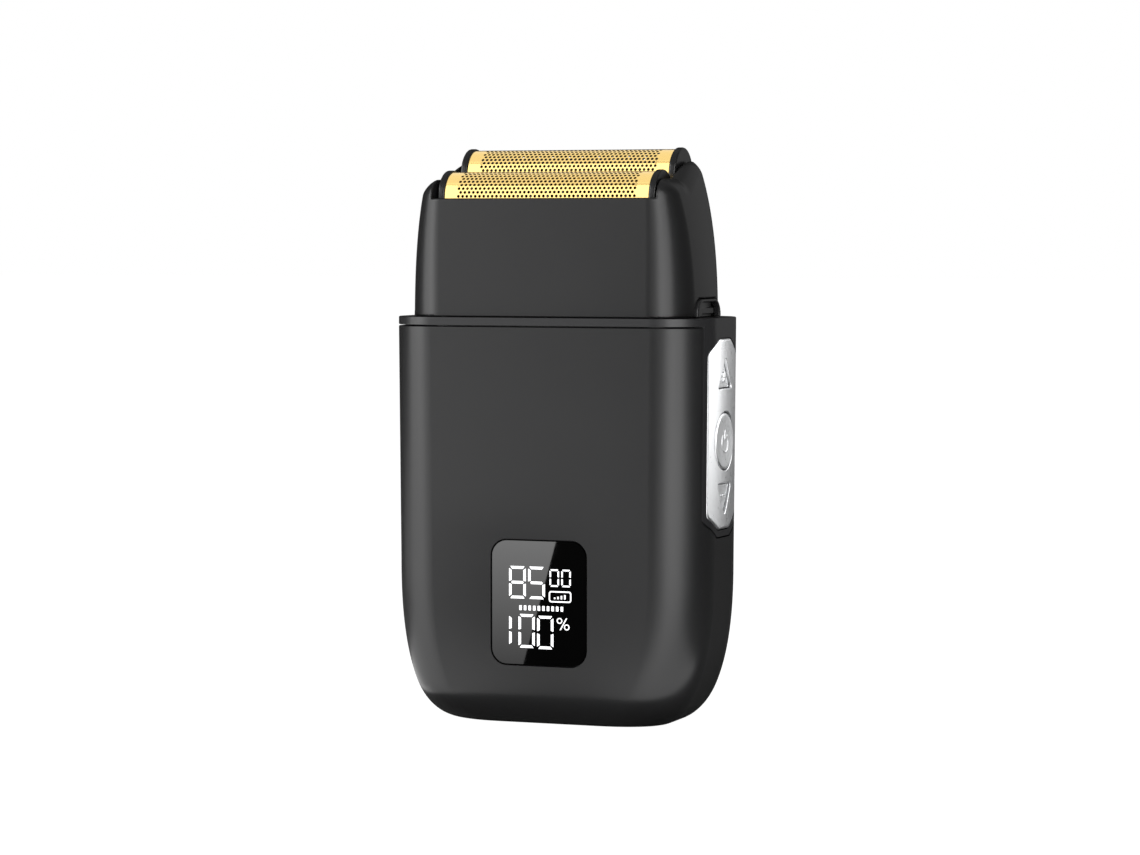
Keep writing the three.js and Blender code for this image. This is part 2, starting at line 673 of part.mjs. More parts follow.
// Side view (Y, Z): the front lobe, a shallow dip, and the slope up to the taller rear lobe.
function lobeOutline() {
  return polygon([
    [HEAD_FRONT - 1, HEAD_BOTTOM - 1],
    [HEAD_BACK + 1, HEAD_BOTTOM - 1],
    [HEAD_BACK + 1, 95],
    [12.7, 99.5],
    [11.3, 102.3],
    [9, 103.9],
    [6.5, HEAD_TOP],
    [4.6, 104],
    [0.8, 102.7],
    [-4.7, 100.4],
    [-6.4, FRONT_LOBE_TOP],
    [-9.4, FRONT_LOBE_TOP],
    [-11.6, 99.5],
    [-12.8, 97.6],
    [HEAD_FRONT - 1, 95.8],
  ]);
}

// Side view (Y, Z) of a release button: a low arch, grown by margin.
function archOutline(margin) {
  const half = 6.4 + margin;
  const top = 78.4 + margin;
  const shape = new THREE.Shape();
  shape.moveTo(-half, 75.4 - margin * 2);
  shape.lineTo(half, 75.4 - margin * 2);
  shape.absarc(half - 2.4, top - 2.4, 2.4, 0, Math.PI / 2);
  shape.absarc(-half + 2.4, top - 2.4, 2.4, Math.PI / 2, Math.PI);
  return shape;
}

function releaseNotch(margin) {
  const left = prismX(archOutline(margin), -30, -23);
  return left.add(prismX(archOutline(margin), 23, 30));
}

// A release button: the pad in the head's notch and the tail through the frame's wall.
function makeReleaseButton(end) {
  const back = end * (RELEASE_FACE_X - 1.2);
  const face = end * RELEASE_FACE_X;
  const pad = prismX(archOutline(0), Math.min(back, face), Math.max(back, face));
  const tail = block(Math.min(end * 22.6, end * 27.3), Math.max(end * 22.6, end * 27.3), -4, 4, 75.6, 76.8);
  return pad.add(tail);
}

addNode("housing", makeHousing(), PLASTIC);
addNode("top_frame", makeTopFrame(), SATIN);
addNode("key_strip", makeKeyStrip(), CHROME);
addNode("power_key", makeRoundKey(), CHROME);
addNode("up_key", makeArrowKey(UP_KEY_BASE, 1), CHROME);
addNode("down_key", makeArrowKey(DOWN_KEY_BASE, -1), CHROME);
addNode("key_board", makeKeyBoard(), BOARD);
addNode("key_board_screw_top", makeScrewX(60.05), STEEL);
addNode("key_board_screw_bottom", makeScrewX(37.1), STEEL);
addNode("display_lens", makeLens(), LENS);
addNode("display_module", makeDisplayModule(), LENS);
addNode("main_board", makeMainBoard(), BOARD);
addNode("main_board_screw_left", makeBoardScrew(-1), STEEL);
addNode("main_board_screw_right", makeBoardScrew(1), STEEL);
addNode("usb_port", makeUsbPort(), STEEL);
addNode("usb_board", makeUsbBoard(), BOARD);
addNode("usb_board_screw_left", makeScrewZ(-USB_POST_X, 0, 0.6, 1.4, 4, 10.1, 11), STEEL);
addNode("usb_board_screw_right", makeScrewZ(USB_POST_X, 0, 0.6, 1.4, 4, 10.1, 11), STEEL);
addNode("battery", makeBattery(), CELL);
addNode("battery_cradle", makeCradle(), PLASTIC);
addNode("motor", makeMotor(), STEEL);
addNode("motor_bracket", makeMotorBracket(), STEEL);
for (const [side, name] of [
  [-1, "left"],
  [1, "right"],
]) {
  addNode("motor_screw_" + name, makeScrewZ(side * 6.5, 0, 0.7, 1.5, 60, 65.5, 66.5), STEEL);
  addNode("bracket_screw_" + name, makeScrewZ(side * BRACKET_POST_X, 0, 0.65, 1.5, 69, 62.4, 63.4), STEEL);
}
for (const { name, x, y } of SCREW_SPOTS) {
  addNode("frame_screw_" + name, makeScrewZ(x, y, 0.95, 1.9, 64, 77.75, 78.6), STEEL);
}
addNode("guide_plate", makeGuidePlate(), NYLON);
addNode("motor_shaft", makeShaft(), STEEL);
addNode("eccentric", makeEccentric(), NYLON);
addNode("front_driver", makeDriver(70.25, FOILS[0], FOILS[0].z), NYLON);
addNode("rear_driver", makeDriver(73.35, FOILS[1], FOILS[1].z), NYLON);
for (const foil of FOILS) {
  const rise = foil.z - FOILS[0].z;
  addNode(foil.side + "_driver_seal", makeSeal(foil.y), RUBBER);
  addNode(foil.side + "_cutter", makeCutter(foil), STEEL);
  addNode(
    foil.side + "_cutter_spring",
    makeSpring(0, foil.y, 1.75, 0.25, POST_TOP + rise + 0.1, foil.z - 8.4, 3),
    STEEL,
  );
  addNode(foil.side + "_foil", makeFoil(foil), GOLD);
  addNode(foil.side + "_cassette", makeCassette(foil), PLASTIC);
  for (const [end, name] of [
    [-1, "left"],
    [1, "right"],
  ]) {
    addNode(
      foil.side + "_foil_spring_" + name,
      makeSpring(end * 20.6, foil.y, 0.9, 0.2, foil.z - 10.5, foil.z - 6.5, 4),
      STEEL,
    );
  }
}
addNode("head_cover", makeHeadCover(), PLASTIC);
addNode("release_button_left", makeReleaseButton(-1), PLASTIC);
addNode("release_button_right", makeReleaseButton(1), PLASTIC);

export default shaver;
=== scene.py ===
"""Looks of a twin-foil electric shaver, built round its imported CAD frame. Shapes are made in millimetres."""

import json
import math

import bmesh
import bpy
import numpy as np
from mathutils import Matrix, Vector


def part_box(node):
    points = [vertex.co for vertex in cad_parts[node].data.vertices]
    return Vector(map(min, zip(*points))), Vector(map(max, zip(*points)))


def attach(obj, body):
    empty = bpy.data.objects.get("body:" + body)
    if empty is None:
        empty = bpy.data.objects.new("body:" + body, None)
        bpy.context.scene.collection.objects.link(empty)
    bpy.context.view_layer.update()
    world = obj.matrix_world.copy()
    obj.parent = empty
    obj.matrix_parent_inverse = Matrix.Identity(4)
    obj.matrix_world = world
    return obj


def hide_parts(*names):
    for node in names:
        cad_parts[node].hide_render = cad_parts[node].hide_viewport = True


MM = 0.001
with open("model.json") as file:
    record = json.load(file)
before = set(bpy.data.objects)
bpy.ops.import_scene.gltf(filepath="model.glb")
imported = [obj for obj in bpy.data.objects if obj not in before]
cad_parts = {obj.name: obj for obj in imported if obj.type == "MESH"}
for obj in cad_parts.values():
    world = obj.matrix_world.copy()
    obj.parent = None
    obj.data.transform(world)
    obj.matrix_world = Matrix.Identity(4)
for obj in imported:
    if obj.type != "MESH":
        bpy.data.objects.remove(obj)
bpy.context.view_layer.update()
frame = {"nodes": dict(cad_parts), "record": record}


def box_mm(node):
    """A CAD node's lowest and highest corner in millimetres."""
    low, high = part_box(node)
    return [v / MM for v in low], [v / MM for v in high]


# Sizes read from the frame
HOUSING_LOW, HOUSING_HIGH = box_mm("housing")
FRAME_LOW, FRAME_HIGH = box_mm("top_frame")
LENS_LOW, LENS_HIGH = box_mm("display_lens")
STRIP_LOW, STRIP_HIGH = box_mm("key_strip")
HEAD_LOW, HEAD_HIGH = box_mm("head_cover")
POWER_LOW, POWER_HIGH = box_mm("power_key")

HALF_WIDTH = -HOUSING_LOW[0]
HALF_DEPTH = -HOUSING_LOW[1]
HOUSING_TOP = HOUSING_HIGH[2]
FLANGE_BOTTOM = HOUSING_TOP + 0.3
BOSS_TOP = FRAME_HIGH[2]
LENS_Z = (LENS_LOW[2] + LENS_HIGH[2]) / 2
LENS_FRONT = LENS_LOW[1]

# Shape of the handle, as in the CAD
PLAN_CORNER = 9.75
TAPER = math.tan(math.radians(0.5))
CORNER_WIDTH = 12.2
CORNER_HEIGHT = 30.0
CORNER_POWER = 2.4
BASE_FILLET = 6.3
BASE_FILLET_HEIGHT = 6.8
WALL = 2.0
TONGUE_HALF = 9.0
TONGUE_BOTTOM = FRAME_LOW[2]
BOSS_HALF_X = 25.6
BOSS_HALF_Y = 11.5
BOSS_CORNER = 7.3
BOSS_WALL = 1.5
FRONT_ROW_Y = -6
REAR_ROW_Y = 5

# Key strip, whose face is crowned where the CAD's is flat
STRIP_HALF = STRIP_HIGH[1]
STRIP_CROWN = 0.25
STRIP_THICKNESS = 0.85
POWER_RADIUS = 5.2
KEY_GAP = 0.16

# Head cover and its release buttons, rounder than in the CAD
FRONT_LOBE_TOP = 100.6
REAR_LOBE_TOP = 104.9
HEAD_WALL = 1.4
HEAD_ROUNDING = 3.7
HEAD_CAVITY_TOP = 93
MOUTH_HALF = 21.9
FRONT_RIM = 96.8
BACK_RIM = 100.6
RELEASE_FACE = 28.0


# ---------------------------------------------------------------- meshes


def new_object(name, vertices, faces):
    mesh = bpy.data.meshes.new(name)
    mesh.from_pydata([tuple(v) for v in vertices], [], [tuple(f) for f in faces])
    mesh.validate()
    obj = bpy.data.objects.new(name, mesh)
    bpy.context.scene.collection.objects.link(obj)
    return obj


def recalculate_normals(obj):
    bm = bmesh.new()
    bm.from_mesh(obj.data)
    bmesh.ops.recalc_face_normals(bm, faces=bm.faces)
    bm.to_mesh(obj.data)
    bm.free()


def bake_modifiers(obj):
    """Turns the object's modifiers into plain mesh."""
    graph = bpy.context.evaluated_depsgraph_get()
    mesh = bpy.data.meshes.new_from_object(obj.evaluated_get(graph))
    obj.modifiers.clear()
    obj.data = mesh


def combine(obj, others, operation):
    """Cuts with or joins on other closed meshes, which are used up."""
    for other in others:
        step = obj.modifiers.new("step", "BOOLEAN")
        step.operation = operation
        step.solver = "EXACT"
        step.object = other
    bake_modifiers(obj)
    for other in others:
        bpy.data.objects.remove(other, do_unlink=True)
    return obj


def soften_edges(obj, width, segments=2, limit=35):
    bevel = obj.modifiers.new("edge", "BEVEL")
    bevel.width = width
    bevel.segments = segments
    bevel.limit_method = "ANGLE"
    bevel.angle_limit = math.radians(limit)
    bevel.use_clamp_overlap = True
    bake_modifiers(obj)
    return obj


def shade(obj, sharp=38):
    """Smooth shading with sharp edges kept and flat faces left flat."""
    bm = bmesh.new()
    bm.from_mesh(obj.data)
    limit = math.radians(sharp)
    for face in bm.faces:
        face.smooth = True
    for edge in bm.edges:
        if len(edge.link_faces) == 2:
            edge.smooth = edge.calc_face_angle(0) < limit
    bm.to_mesh(obj.data)
    bm.free()
    weighted = obj.modifiers.new("weighted", "WEIGHTED_NORMAL")
    weighted.keep_sharp = True
    weighted.weight = 80
    bake_modifiers(obj)
    return obj


def place(obj, material, body, nodes=()):
    obj.data.transform(Matrix.Scale(MM, 4))
    obj.data.materials.clear()
    obj.data.materials.append(material)
    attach(obj, body)
    if nodes:
        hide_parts(*nodes)
    return obj


def join_objects(name, objects):
    """One mesh object from several, all in millimetres."""
    bm = bmesh.new()
    for obj in objects:
        bm.from_mesh(obj.data)
    mesh = bpy.data.meshes.new(name)
    bm.to_mesh(mesh)
    bm.free()
    for obj in objects:
        bpy.data.objects.remove(obj, do_unlink=True)
    joined = bpy.data.objects.new(name, mesh)
    bpy.context.scene.collection.objects.link(joined)
    return joined


def ring(half_x, half_y, radius_x, radius_y, arc=14, along_x=8, along_y=4):
    """Points of a rounded rectangle, anticlockwise, the same number whatever its size."""
    points = []
    corners = [(1, 1, 0), (-1, 1, 90), (-1, -1, 180), (1, -1, 270)]
    for index, (sx, sy, start) in enumerate(corners):
        cx = sx * (half_x - radius_x)
        cy = sy * (half_y - radius_y)
        for k in range(arc + 1):
            angle = math.radians(start + 90 * k / arc)
            points.append((cx + radius_x * math.cos(angle), cy + radius_y * math.sin(angle)))
        nx, ny, next_start = corners[(index + 1) % 4]
        begin = math.radians(next_start)
        target_x = nx * (half_x - radius_x) + radius_x * math.cos(begin)
        target_y = ny * (half_y - radius_y) + radius_y * math.sin(begin)
        last_x, last_y = points[-1]
        count = along_x if index % 2 == 0 else along_y
        for k in range(1, count):
            along = k / count
            points.append((last_x + (target_x - last_x) * along, last_y + (target_y - last_y) * along))
    return points


def loft(name, levels, closed=False):
    """A solid through rings [(z, points)]; closed joins the last ring back to the first."""
    vertices = []
    faces = []
    count = len(levels[0][1])
    for z, points in levels:
        vertices += [(x, y, z) for x, y in points]
    total = len(levels)
    for k in range(total if closed else total - 1):
        a = k * count
        b = ((k + 1) % total) * count
        for i in range(count):
            j = (i + 1) % count
            faces.append((a + i, a + j, b + j, b + i))
    if not closed:
        faces.append(tuple(reversed(range(count))))
        faces.append(tuple(range((total - 1) * count, total * count)))
    obj = new_object(name, vertices, faces)
    recalculate_normals(obj)
    return obj


def rounded_polygon(points, radii, steps=5):
    """A polygon's outline with each corner turned into an arc of its radius."""
    outline = []
    count = len(points)
    for i, radius in enumerate(radii):
        here = Vector(points[i])
        before = (Vector(points[i - 1]) - here).normalized()
        after = (Vector(points[(i + 1) % count]) - here).normalized()
        if radius <= 0:
            outline.append(tuple(here))
            continue
        half = before.angle(after) / 2
        reach = radius / math.tan(half)
        centre = here + (before + after).normalized() * (radius / math.sin(half))
        start = here + before * reach - centre
        end = here + after * reach - centre
        turn = start.angle_signed(end)
        for k in range(steps + 1):
            spin = Matrix.Rotation(-turn * k / steps, 2)
            outline.append(tuple(centre + spin @ start))
    return outline


def prism(name, outline, axis, low, high):
    """An outline carried along an axis: (Y, Z) along X, (X, Z) along Y, or (X, Y) along Z."""
    count = len(outline)
    vertices = []
    for level in (low, high):
        for u, v in outline:
            vertices.append({"X": (level, u, v), "Y": (u, level, v), "Z": (u, v, level)}[axis])
    faces = [tuple(range(count)), tuple(reversed(range(count, 2 * count)))]
    for i in range(count):
        j = (i + 1) % count
        faces.append((i, i + count, j + count, j))
    obj = new_object(name, vertices, faces)
    recalculate_normals(obj)
    return obj


def circle_outline(cu, cv, radius, count=64):
    turn = 2 * math.pi / count
    return [(cu + radius * math.cos(turn * i), cv + radius * math.sin(turn * i)) for i in range(count)]


def rectangle_outline(half_u, half_v, radius, cu=0.0, cv=0.0, steps=8):
    corners = [(cu + u * half_u, cv + v * half_v) for u, v in ((-1, -1), (1, -1), (1, 1), (-1, 1))]
    return rounded_polygon(corners, [radius] * 4, steps)


# ---------------------------------------------------------------- smooth solids from a distance field


def round_cross(a, b, radius):
    """The overlap of two fields, with its edge rounded."""
    corner = np.hypot(np.maximum(a + radius, 0), np.maximum(b + radius, 0))
    return np.minimum(np.maximum(a, b), -radius) + corner


def round_join(a, b, radius):
    return -round_cross(-a, -b, radius)


def rounded_box(x, y, half_x, half_y, radius):
    qx = np.abs(x) - half_x + radius
    qy = np.abs(y) - half_y + radius
    outside = np.hypot(np.maximum(qx, 0), np.maximum(qy, 0))
    return outside + np.minimum(np.maximum(qx, qy), 0) - radius


def field_mesh(name, field, low, high, step):
    """A closed mesh of the surface where the field is zero, one vertex to each cell that it crosses."""
    axes = [np.arange(low[i], high[i] + step, step) for i in range(3)]
    value = field(*np.meshgrid(*axes, indexing="ij"))
    below = value < 0
    size = [n - 1 for n in value.shape]
    corners = [(i, j, k) for i in (0, 1) for j in (0, 1) for k in (0, 1)]

    def corner(array, c):
        return array[c[0]: c[0] + size[0], c[1]: c[1] + size[1], c[2]: c[2] + size[2]]

    count = sum(corner(below, c).astype(np.int8) for c in corners)
    active = (count > 0) & (count < 8)
    cells = np.argwhere(active)
    index = np.full(size, -1, dtype=np.int64)
    index[active] = np.arange(len(cells))
    total = np.zeros((len(cells), 3))
    hits = np.zeros(len(cells))
    for c in corners:
        for axis in range(3):
            if c[axis]:
                continue
            d = tuple(1 if i == axis else c[i] for i in range(3))
            a = corner(value, c)[active]
            b = corner(value, d)[active]
            crossed = (a < 0) != (b < 0)
            t = np.where(crossed, a / np.where(crossed, a - b, 1), 0)
            point = np.array(c, dtype=float)[None, :].repeat(len(cells), 0)
            point[:, axis] += t
            total += point * crossed[:, None]
            hits += crossed
    points = np.array(low) + (cells + total / hits[:, None]) * step
    normals = None
    for _ in range(4):
        x, y, z = points.T
        e = step * 0.1
        slope = np.stack(
            [
                field(x + e, y, z) - field(x - e, y, z),
                field(x, y + e, z) - field(x, y - e, z),
                field(x, y, z + e) - field(x, y, z - e),
            ],
            axis=1,
        ) / (2 * e)
        size2 = np.maximum((slope**2).sum(1), 0.05)
        move = (field(x, y, z) / size2)[:, None] * slope
        points = points - np.clip(move, -step, step)
        normals = slope / np.sqrt(size2)[:, None]
    faces = []
    for axis in range(3):
        u, v = (axis + 1) % 3, (axis + 2) % 3
        first = [slice(1, -1)] * 3
        second = [slice(1, -1)] * 3
        first[axis] = slice(0, -1)
        second[axis] = slice(1, None)
        a = below[tuple(first)]
        b = below[tuple(second)]
        edges = np.argwhere(a != b)
        if not len(edges):
            continue
        flip = a[tuple(edges.T)]
        edges[:, u] += 1
        edges[:, v] += 1
        quad = []
        for du, dv in ((-1, -1), (0, -1), (0, 0), (-1, 0)):
            cell = edges.copy()
            cell[:, u] += du
            cell[:, v] += dv
            quad.append(index[cell[:, 0], cell[:, 1], cell[:, 2]])
        quad = np.stack(quad, axis=1)
        quad[~flip] = quad[~flip][:, ::-1]
        faces.append(quad)
    faces = np.concatenate(faces)
    obj = new_object(name, points.tolist(), faces.tolist())
    return obj, normals


def shade_by_field(obj, normals):
    """Gives a field mesh the field's own normals."""
    for polygon in obj.data.polygons:
        polygon.use_smooth = True
    if len(obj.data.vertices) == len(normals):
        obj.data.normals_split_custom_set_from_vertices([tuple(n) for n in normals])
    return obj


# ---------------------------------------------------------------- materials


def start_material(name):
    material = bpy.data.materials.new(name)
    material.use_nodes = True
    nodes = material.node_tree.nodes
    shader = nodes["Principled BSDF"]
    return material, nodes, material.node_tree.links, shader


def add_noise(nodes, links, scale, detail=3.0, stretch=None):
    """A noise texture's value, on coordinates that can be stretched."""
    where = nodes.new("ShaderNodeTexCoord").outputs["Object"]
    if stretch:
        mapping = nodes.new("ShaderNodeMapping")
        mapping.inputs["Scale"].default_value = stretch
        links.new(where, mapping.inputs["Vector"])
        where = mapping.outputs["Vector"]
    noise = nodes.new("ShaderNodeTexNoise")
    noise.inputs["Scale"].default_value = scale
    noise.inputs["Detail"].default_value = detail
    links.new(where, noise.inputs["Vector"])
    return noise.outputs["Fac"]


def vary(nodes, links, source, low, high, target):
    """Drives a socket between two values by a texture."""
    spread = nodes.new("ShaderNodeMapRange")
    spread.inputs["To Min"].default_value = low
    spread.inputs["To Max"].default_value = high
    links.new(source, spread.inputs["Value"])
    links.new(spread.outputs["Result"], target)


def vary_colour(nodes, links, source, dark, light, target):
    mix = nodes.new("ShaderNodeMix")
    mix.data_type = "RGBA"
    mix.inputs["A"].default_value = (*dark, 1)
    mix.inputs["B"].default_value = (*light, 1)
    links.new(source, mix.inputs["Factor"])
    links.new(mix.outputs["Result"], target)


def add_bump(nodes, links, source, strength, distance, shader):
    bump = nodes.new("ShaderNodeBump")
    bump.inputs["Strength"].default_value = strength
    bump.inputs["Distance"].default_value = distance
    links.new(source, bump.inputs["Height"])
    links.new(bump.outputs["Normal"], shader.inputs["Normal"])


def moulded_plastic(name, colour, roughness, grain=0.25, specular=0.5):
    """Moulded plastic: faint colour drift, fine spark-eroded grain and uneven sheen."""
    material, nodes, links, shader = start_material(name)
    drift = add_noise(nodes, links, 60)
    grain_noise = add_noise(nodes, links, 5200, 2)
    dark = tuple(c * 0.93 for c in colour)
    light = tuple(c * 1.07 for c in colour)
    vary_colour(nodes, links, drift, dark, light, shader.inputs["Base Color"])
    vary(nodes, links, drift, roughness - 0.03, roughness + 0.03, shader.inputs["Roughness"])
    add_bump(nodes, links, grain_noise, grain, 0.00001, shader)
    shader.inputs["Specular IOR Level"].default_value = specular
    return material


def metal(name, colour, roughness, grain=0.1, scale=900, stretch=(1, 1, 1)):
    """Metal with a fine grain, stretched where asked, and slightly uneven polish."""
    material, nodes, links, shader = start_material(name)
    noise = add_noise(nodes, links, scale, 2, stretch)
    dark = tuple(c * 0.97 for c in colour)
    vary_colour(nodes, links, noise, dark, colour, shader.inputs["Base Color"])
    vary(nodes, links, noise, roughness * 0.8, roughness * 1.2, shader.inputs["Roughness"])
    add_bump(nodes, links, noise, grain, 0.000005, shader)
    shader.inputs["Metallic"].default_value = 1
    return material


def smoked_window(name):
    material, nodes, links, shader = start_material(name)
    noise = add_noise(nodes, links, 300)
    dark, light = (0.0008, 0.0008, 0.001), (0.0016, 0.0016, 0.0019)
    vary_colour(nodes, links, noise, dark, light, shader.inputs["Base Color"])
    vary(nodes, links, noise, 0.015, 0.03, shader.inputs["Roughness"])
    shader.inputs["Specular IOR Level"].default_value = 0.125
    return material


def lit_segment(name):
    material, nodes, links, shader = start_material(name)
    noise = add_noise(nodes, links, 1500)
    dark, light = (0.93, 0.95, 1.0), (1.0, 1.0, 1.0)
    vary_colour(nodes, links, noise, dark, light, shader.inputs["Emission Color"])
    shader.inputs["Base Color"].default_value = (0.5, 0.5, 0.5, 1)
    shader.inputs["Roughness"].default_value = 0.5
    shader.inputs["Emission Strength"].default_value = 1.0
    return material


def solder_mask(name):
    material, nodes, links, shader = start_material(name)
    noise = add_noise(nodes, links, 700)
    dark, light = (0.008, 0.09, 0.035), (0.015, 0.15, 0.06)
    vary_colour(nodes, links, noise, dark, light, shader.inputs["Base Color"])
    vary(nodes, links, noise, 0.3, 0.45, shader.inputs["Roughness"])
    add_bump(nodes, links, noise, 0.3, 0.00002, shader)
    return material


def floor_material(name):
    """Pale paper, lit up to white where it is looked at directly."""
    material, nodes, links, shader = start_material(name)
    noise = add_noise(nodes, links, 4)
    dark, light = (0.20, 0.20, 0.20), (0.22, 0.22, 0.22)
    vary_colour(nodes, links, noise, dark, light, shader.inputs["Base Color"])
    shader.inputs["Roughness"].default_value = 0.9
    shader.inputs["Specular IOR Level"].default_value = 0.1
    glow = nodes.new("ShaderNodeEmission")
    glow.inputs["Strength"].default_value = 1.0
    path = nodes.new("ShaderNodeLightPath")
    seen = nodes.new("ShaderNodeMixShader")
    total = nodes.new("ShaderNodeAddShader")
    dark = nodes.new("ShaderNodeEmission")
    dark.inputs["Strength"].default_value = 0.0
    links.new(path.outputs["Is Camera Ray"], seen.inputs["Fac"])
    links.new(dark.outputs["Emission"], seen.inputs[1])
    links.new(glow.outputs["Emission"], seen.inputs[2])
    links.new(shader.outputs["BSDF"], total.inputs[0])
    links.new(seen.outputs["Shader"], total.inputs[1])
    links.new(total.outputs["Shader"], nodes["Material Output"].inputs["Surface"])
    return material


SHELL = moulded_plastic("soft_black", (0.012, 0.012, 0.0124), 0.31, 0.25, 0.5)
HEAD = moulded_plastic("matt_black", (0.012, 0.012, 0.0124), 0.31, 0.25, 0.5)
FRAME = moulded_plastic("satin_graphite", (0.02, 0.02, 0.021), 0.3, 0.2, 0.5)
CASSETTE = moulded_plastic("semi_gloss_black", (0.012, 0.012, 0.0125), 0.28, 0.1, 0.5)
INNER = moulded_plastic("inner_black", (0.03, 0.03, 0.03), 0.5, 0.3)
DRIVE = moulded_plastic("acetal_white", (0.72, 0.71, 0.66), 0.4, 0.15)
SEAL = moulded_plastic("seal_rubber_black", (0.015, 0.015, 0.015), 0.75, 0.5, 0.3)
CELL = moulded_plastic("shrink_film_blue", (0.02, 0.09, 0.32), 0.3, 0.1)
CHROME = metal("satin_chrome_plate", (0.80, 0.81, 0.82), 0.3, 0.04, 1400)
GOLD = metal("gold_titanium_foil", (1.0, 0.71, 0.25), 0.16, 0.05, 1200, (0.2, 1, 1))
# Bare underside and hole walls of the foils, made near black as painted shade so the holes read dark
FOIL_INSIDE_PAINTED_SHADE = metal("foil_underside_painted_shade", (0.05, 0.04, 0.03), 0.5, 0.1)
STEEL = metal("plated_steel", (0.55, 0.56, 0.57), 0.3, 0.15)
# Cutter steel, partly the cutters' own ground steel, partly painted shade: darker than bare steel so the foil
# holes read dark
BLADE_WITH_PAINTED_SHADE = metal("ground_steel_painted_shade", (0.20, 0.20, 0.21), 0.35, 0.2, 1600, (1, 0.1, 0.1))
WINDOW = smoked_window("smoked_window")
SEGMENT = lit_segment("lit_segment")
BOARD = solder_mask("green_solder_mask")


# ---------------------------------------------------------------- handle


def handle_sizes(z, inset):
    """Half width, half depth and corner radii of the handle's outline at height z."""
    taper = TAPER * (HOUSING_TOP - min(HOUSING_TOP, max(z, CORNER_HEIGHT)))
    half_x = HALF_WIDTH - inset - taper
    if z < CORNER_HEIGHT:
        rise = (CORNER_HEIGHT - z) / (CORNER_HEIGHT - inset)
        half_x -= (CORNER_WIDTH - inset) * (1 - max(0, 1 - rise**CORNER_POWER) ** (1 / CORNER_POWER))
    half_y = HALF_DEPTH - inset
    if z < BASE_FILLET_HEIGHT:
        rise = (BASE_FILLET_HEIGHT - z) / (BASE_FILLET_HEIGHT - inset)
        half_y -= (BASE_FILLET - inset) * (1 - math.sqrt(max(0, 1 - rise * rise)))
    radius = PLAN_CORNER - inset
    return half_x, half_y, radius, radius * half_y / (HALF_DEPTH - inset)


def handle_levels(inset, top, bottom_steps=34, wall_steps=8):
    levels = []
    for k in range(bottom_steps + 1):
        angle = math.pi / 2 * k / bottom_steps
        z = CORNER_HEIGHT - (CORNER_HEIGHT - inset) * math.cos(angle)
        levels.append((z, ring(*handle_sizes(z, inset))))
    for k in range(1, wall_steps + 1):
        z = CORNER_HEIGHT + (top - CORNER_HEIGHT) * k / wall_steps
        levels.append((z, ring(*handle_sizes(z, inset))))
    return levels


def tongue_outline(margin):
    half = TONGUE_HALF + margin
    bottom = TONGUE_BOTTOM - margin
    top = FLANGE_BOTTOM + 1
    chamfer_top = bottom + 3.2
    inner = half - 5.7
    points = [(-half, top), (-half, chamfer_top), (-inner, bottom)]
    points += [(-u, v) for u, v in reversed(points)]
    return rounded_polygon(points, [0, 1.3, 1.3, 1.3, 1.3, 0])


def strip_outline(margin):
    half = STRIP_HALF + margin
    low = STRIP_LOW[2] - margin
    high = STRIP_HIGH[2] + margin
    inner = half - 4.9
    points = [
        (-inner, low),
        (inner, low),
        (half, low + 2.6),
        (half, high - 2.6),
        (inner, high),
        (-inner, high),
        (-half, high - 2.6),
        (-half, low + 2.6),
    ]
    return rounded_polygon(points, [1.4] * 8)


def arrow_outline(node, margin):
    """The triangle of an arrow key, read from its CAD box, which holds the key's wider flange."""
    low, high = box_mm(node)
    up = node == "up_key"
    half = high[1] - 0.68
    base = low[2] + 0.4 if up else high[2] - 0.4
    apex = high[2] - 0.84 if up else low[2] + 0.84
    turn = 1 if up else -1
    half += 1.7 * margin
    points = [(-half, base - turn * margin), (half, base - turn * margin), (0, apex + turn * 2.1 * margin)]
    if not up:
        points.reverse()
    return rounded_polygon(points, [0.35, 0.35, 0.35], 3)


def make_housing():
    outer = handle_levels(0, HOUSING_TOP - 0.12)
    for inset, drop in ((0.03, 0.0), (0.1, -0.06), (0.35, -0.07)):
        half_x, half_y, radius_x, radius_y = handle_sizes(HOUSING_TOP, 0)
        outline = ring(half_x - inset, half_y - inset, radius_x - inset, radius_y - inset)
        outer.append((HOUSING_TOP - drop, outline))
    inner = handle_levels(WALL, HOUSING_TOP)
    cup = loft("housing_shell", outer)
    hollow = inner + [(HOUSING_TOP + 2, inner[-1][1])]
    window_x = (LENS_HIGH[0] - LENS_LOW[0]) / 2 + 0.2
    window_z = (LENS_HIGH[2] - LENS_LOW[2]) / 2 + 0.2
    window = rectangle_outline(window_x, window_z, 3.2, 0, LENS_Z)
    cutters = [
        loft("hollow", hollow),
        prism("window", window, "Y", -HALF_DEPTH - 1, -HALF_DEPTH + 1.35),
        prism("notch", tongue_outline(0.28), "X", 24, HALF_WIDTH + 1),
        prism("port", rectangle_outline(4.75, 1.9, 1.85), "Z", -1, 3),
    ]
    combine(cup, cutters, "DIFFERENCE")
    soften_edges(cup, 0.14)
    shade(cup)
    return place(cup, SHELL, "handle", ["housing"])


def flange_levels():
    half_x, half_y, radius_x, radius_y = handle_sizes(HOUSING_TOP, 0)
    levels = []
    steps = [(0.15, 0), (0.04, 0.05), (0, 0.14), (0, 1.34), (0.05, 1.45), (0.16, 1.5)]
    for inset, rise in steps:
        outline = ring(half_x - inset, half_y - inset, radius_x - inset, radius_y - inset)
        levels.append((FLANGE_BOTTOM + rise, outline))
    return levels


def boss_ring(inset):
    corner = BOSS_CORNER - inset
    return ring(BOSS_HALF_X - inset, BOSS_HALF_Y - inset, corner, corner)


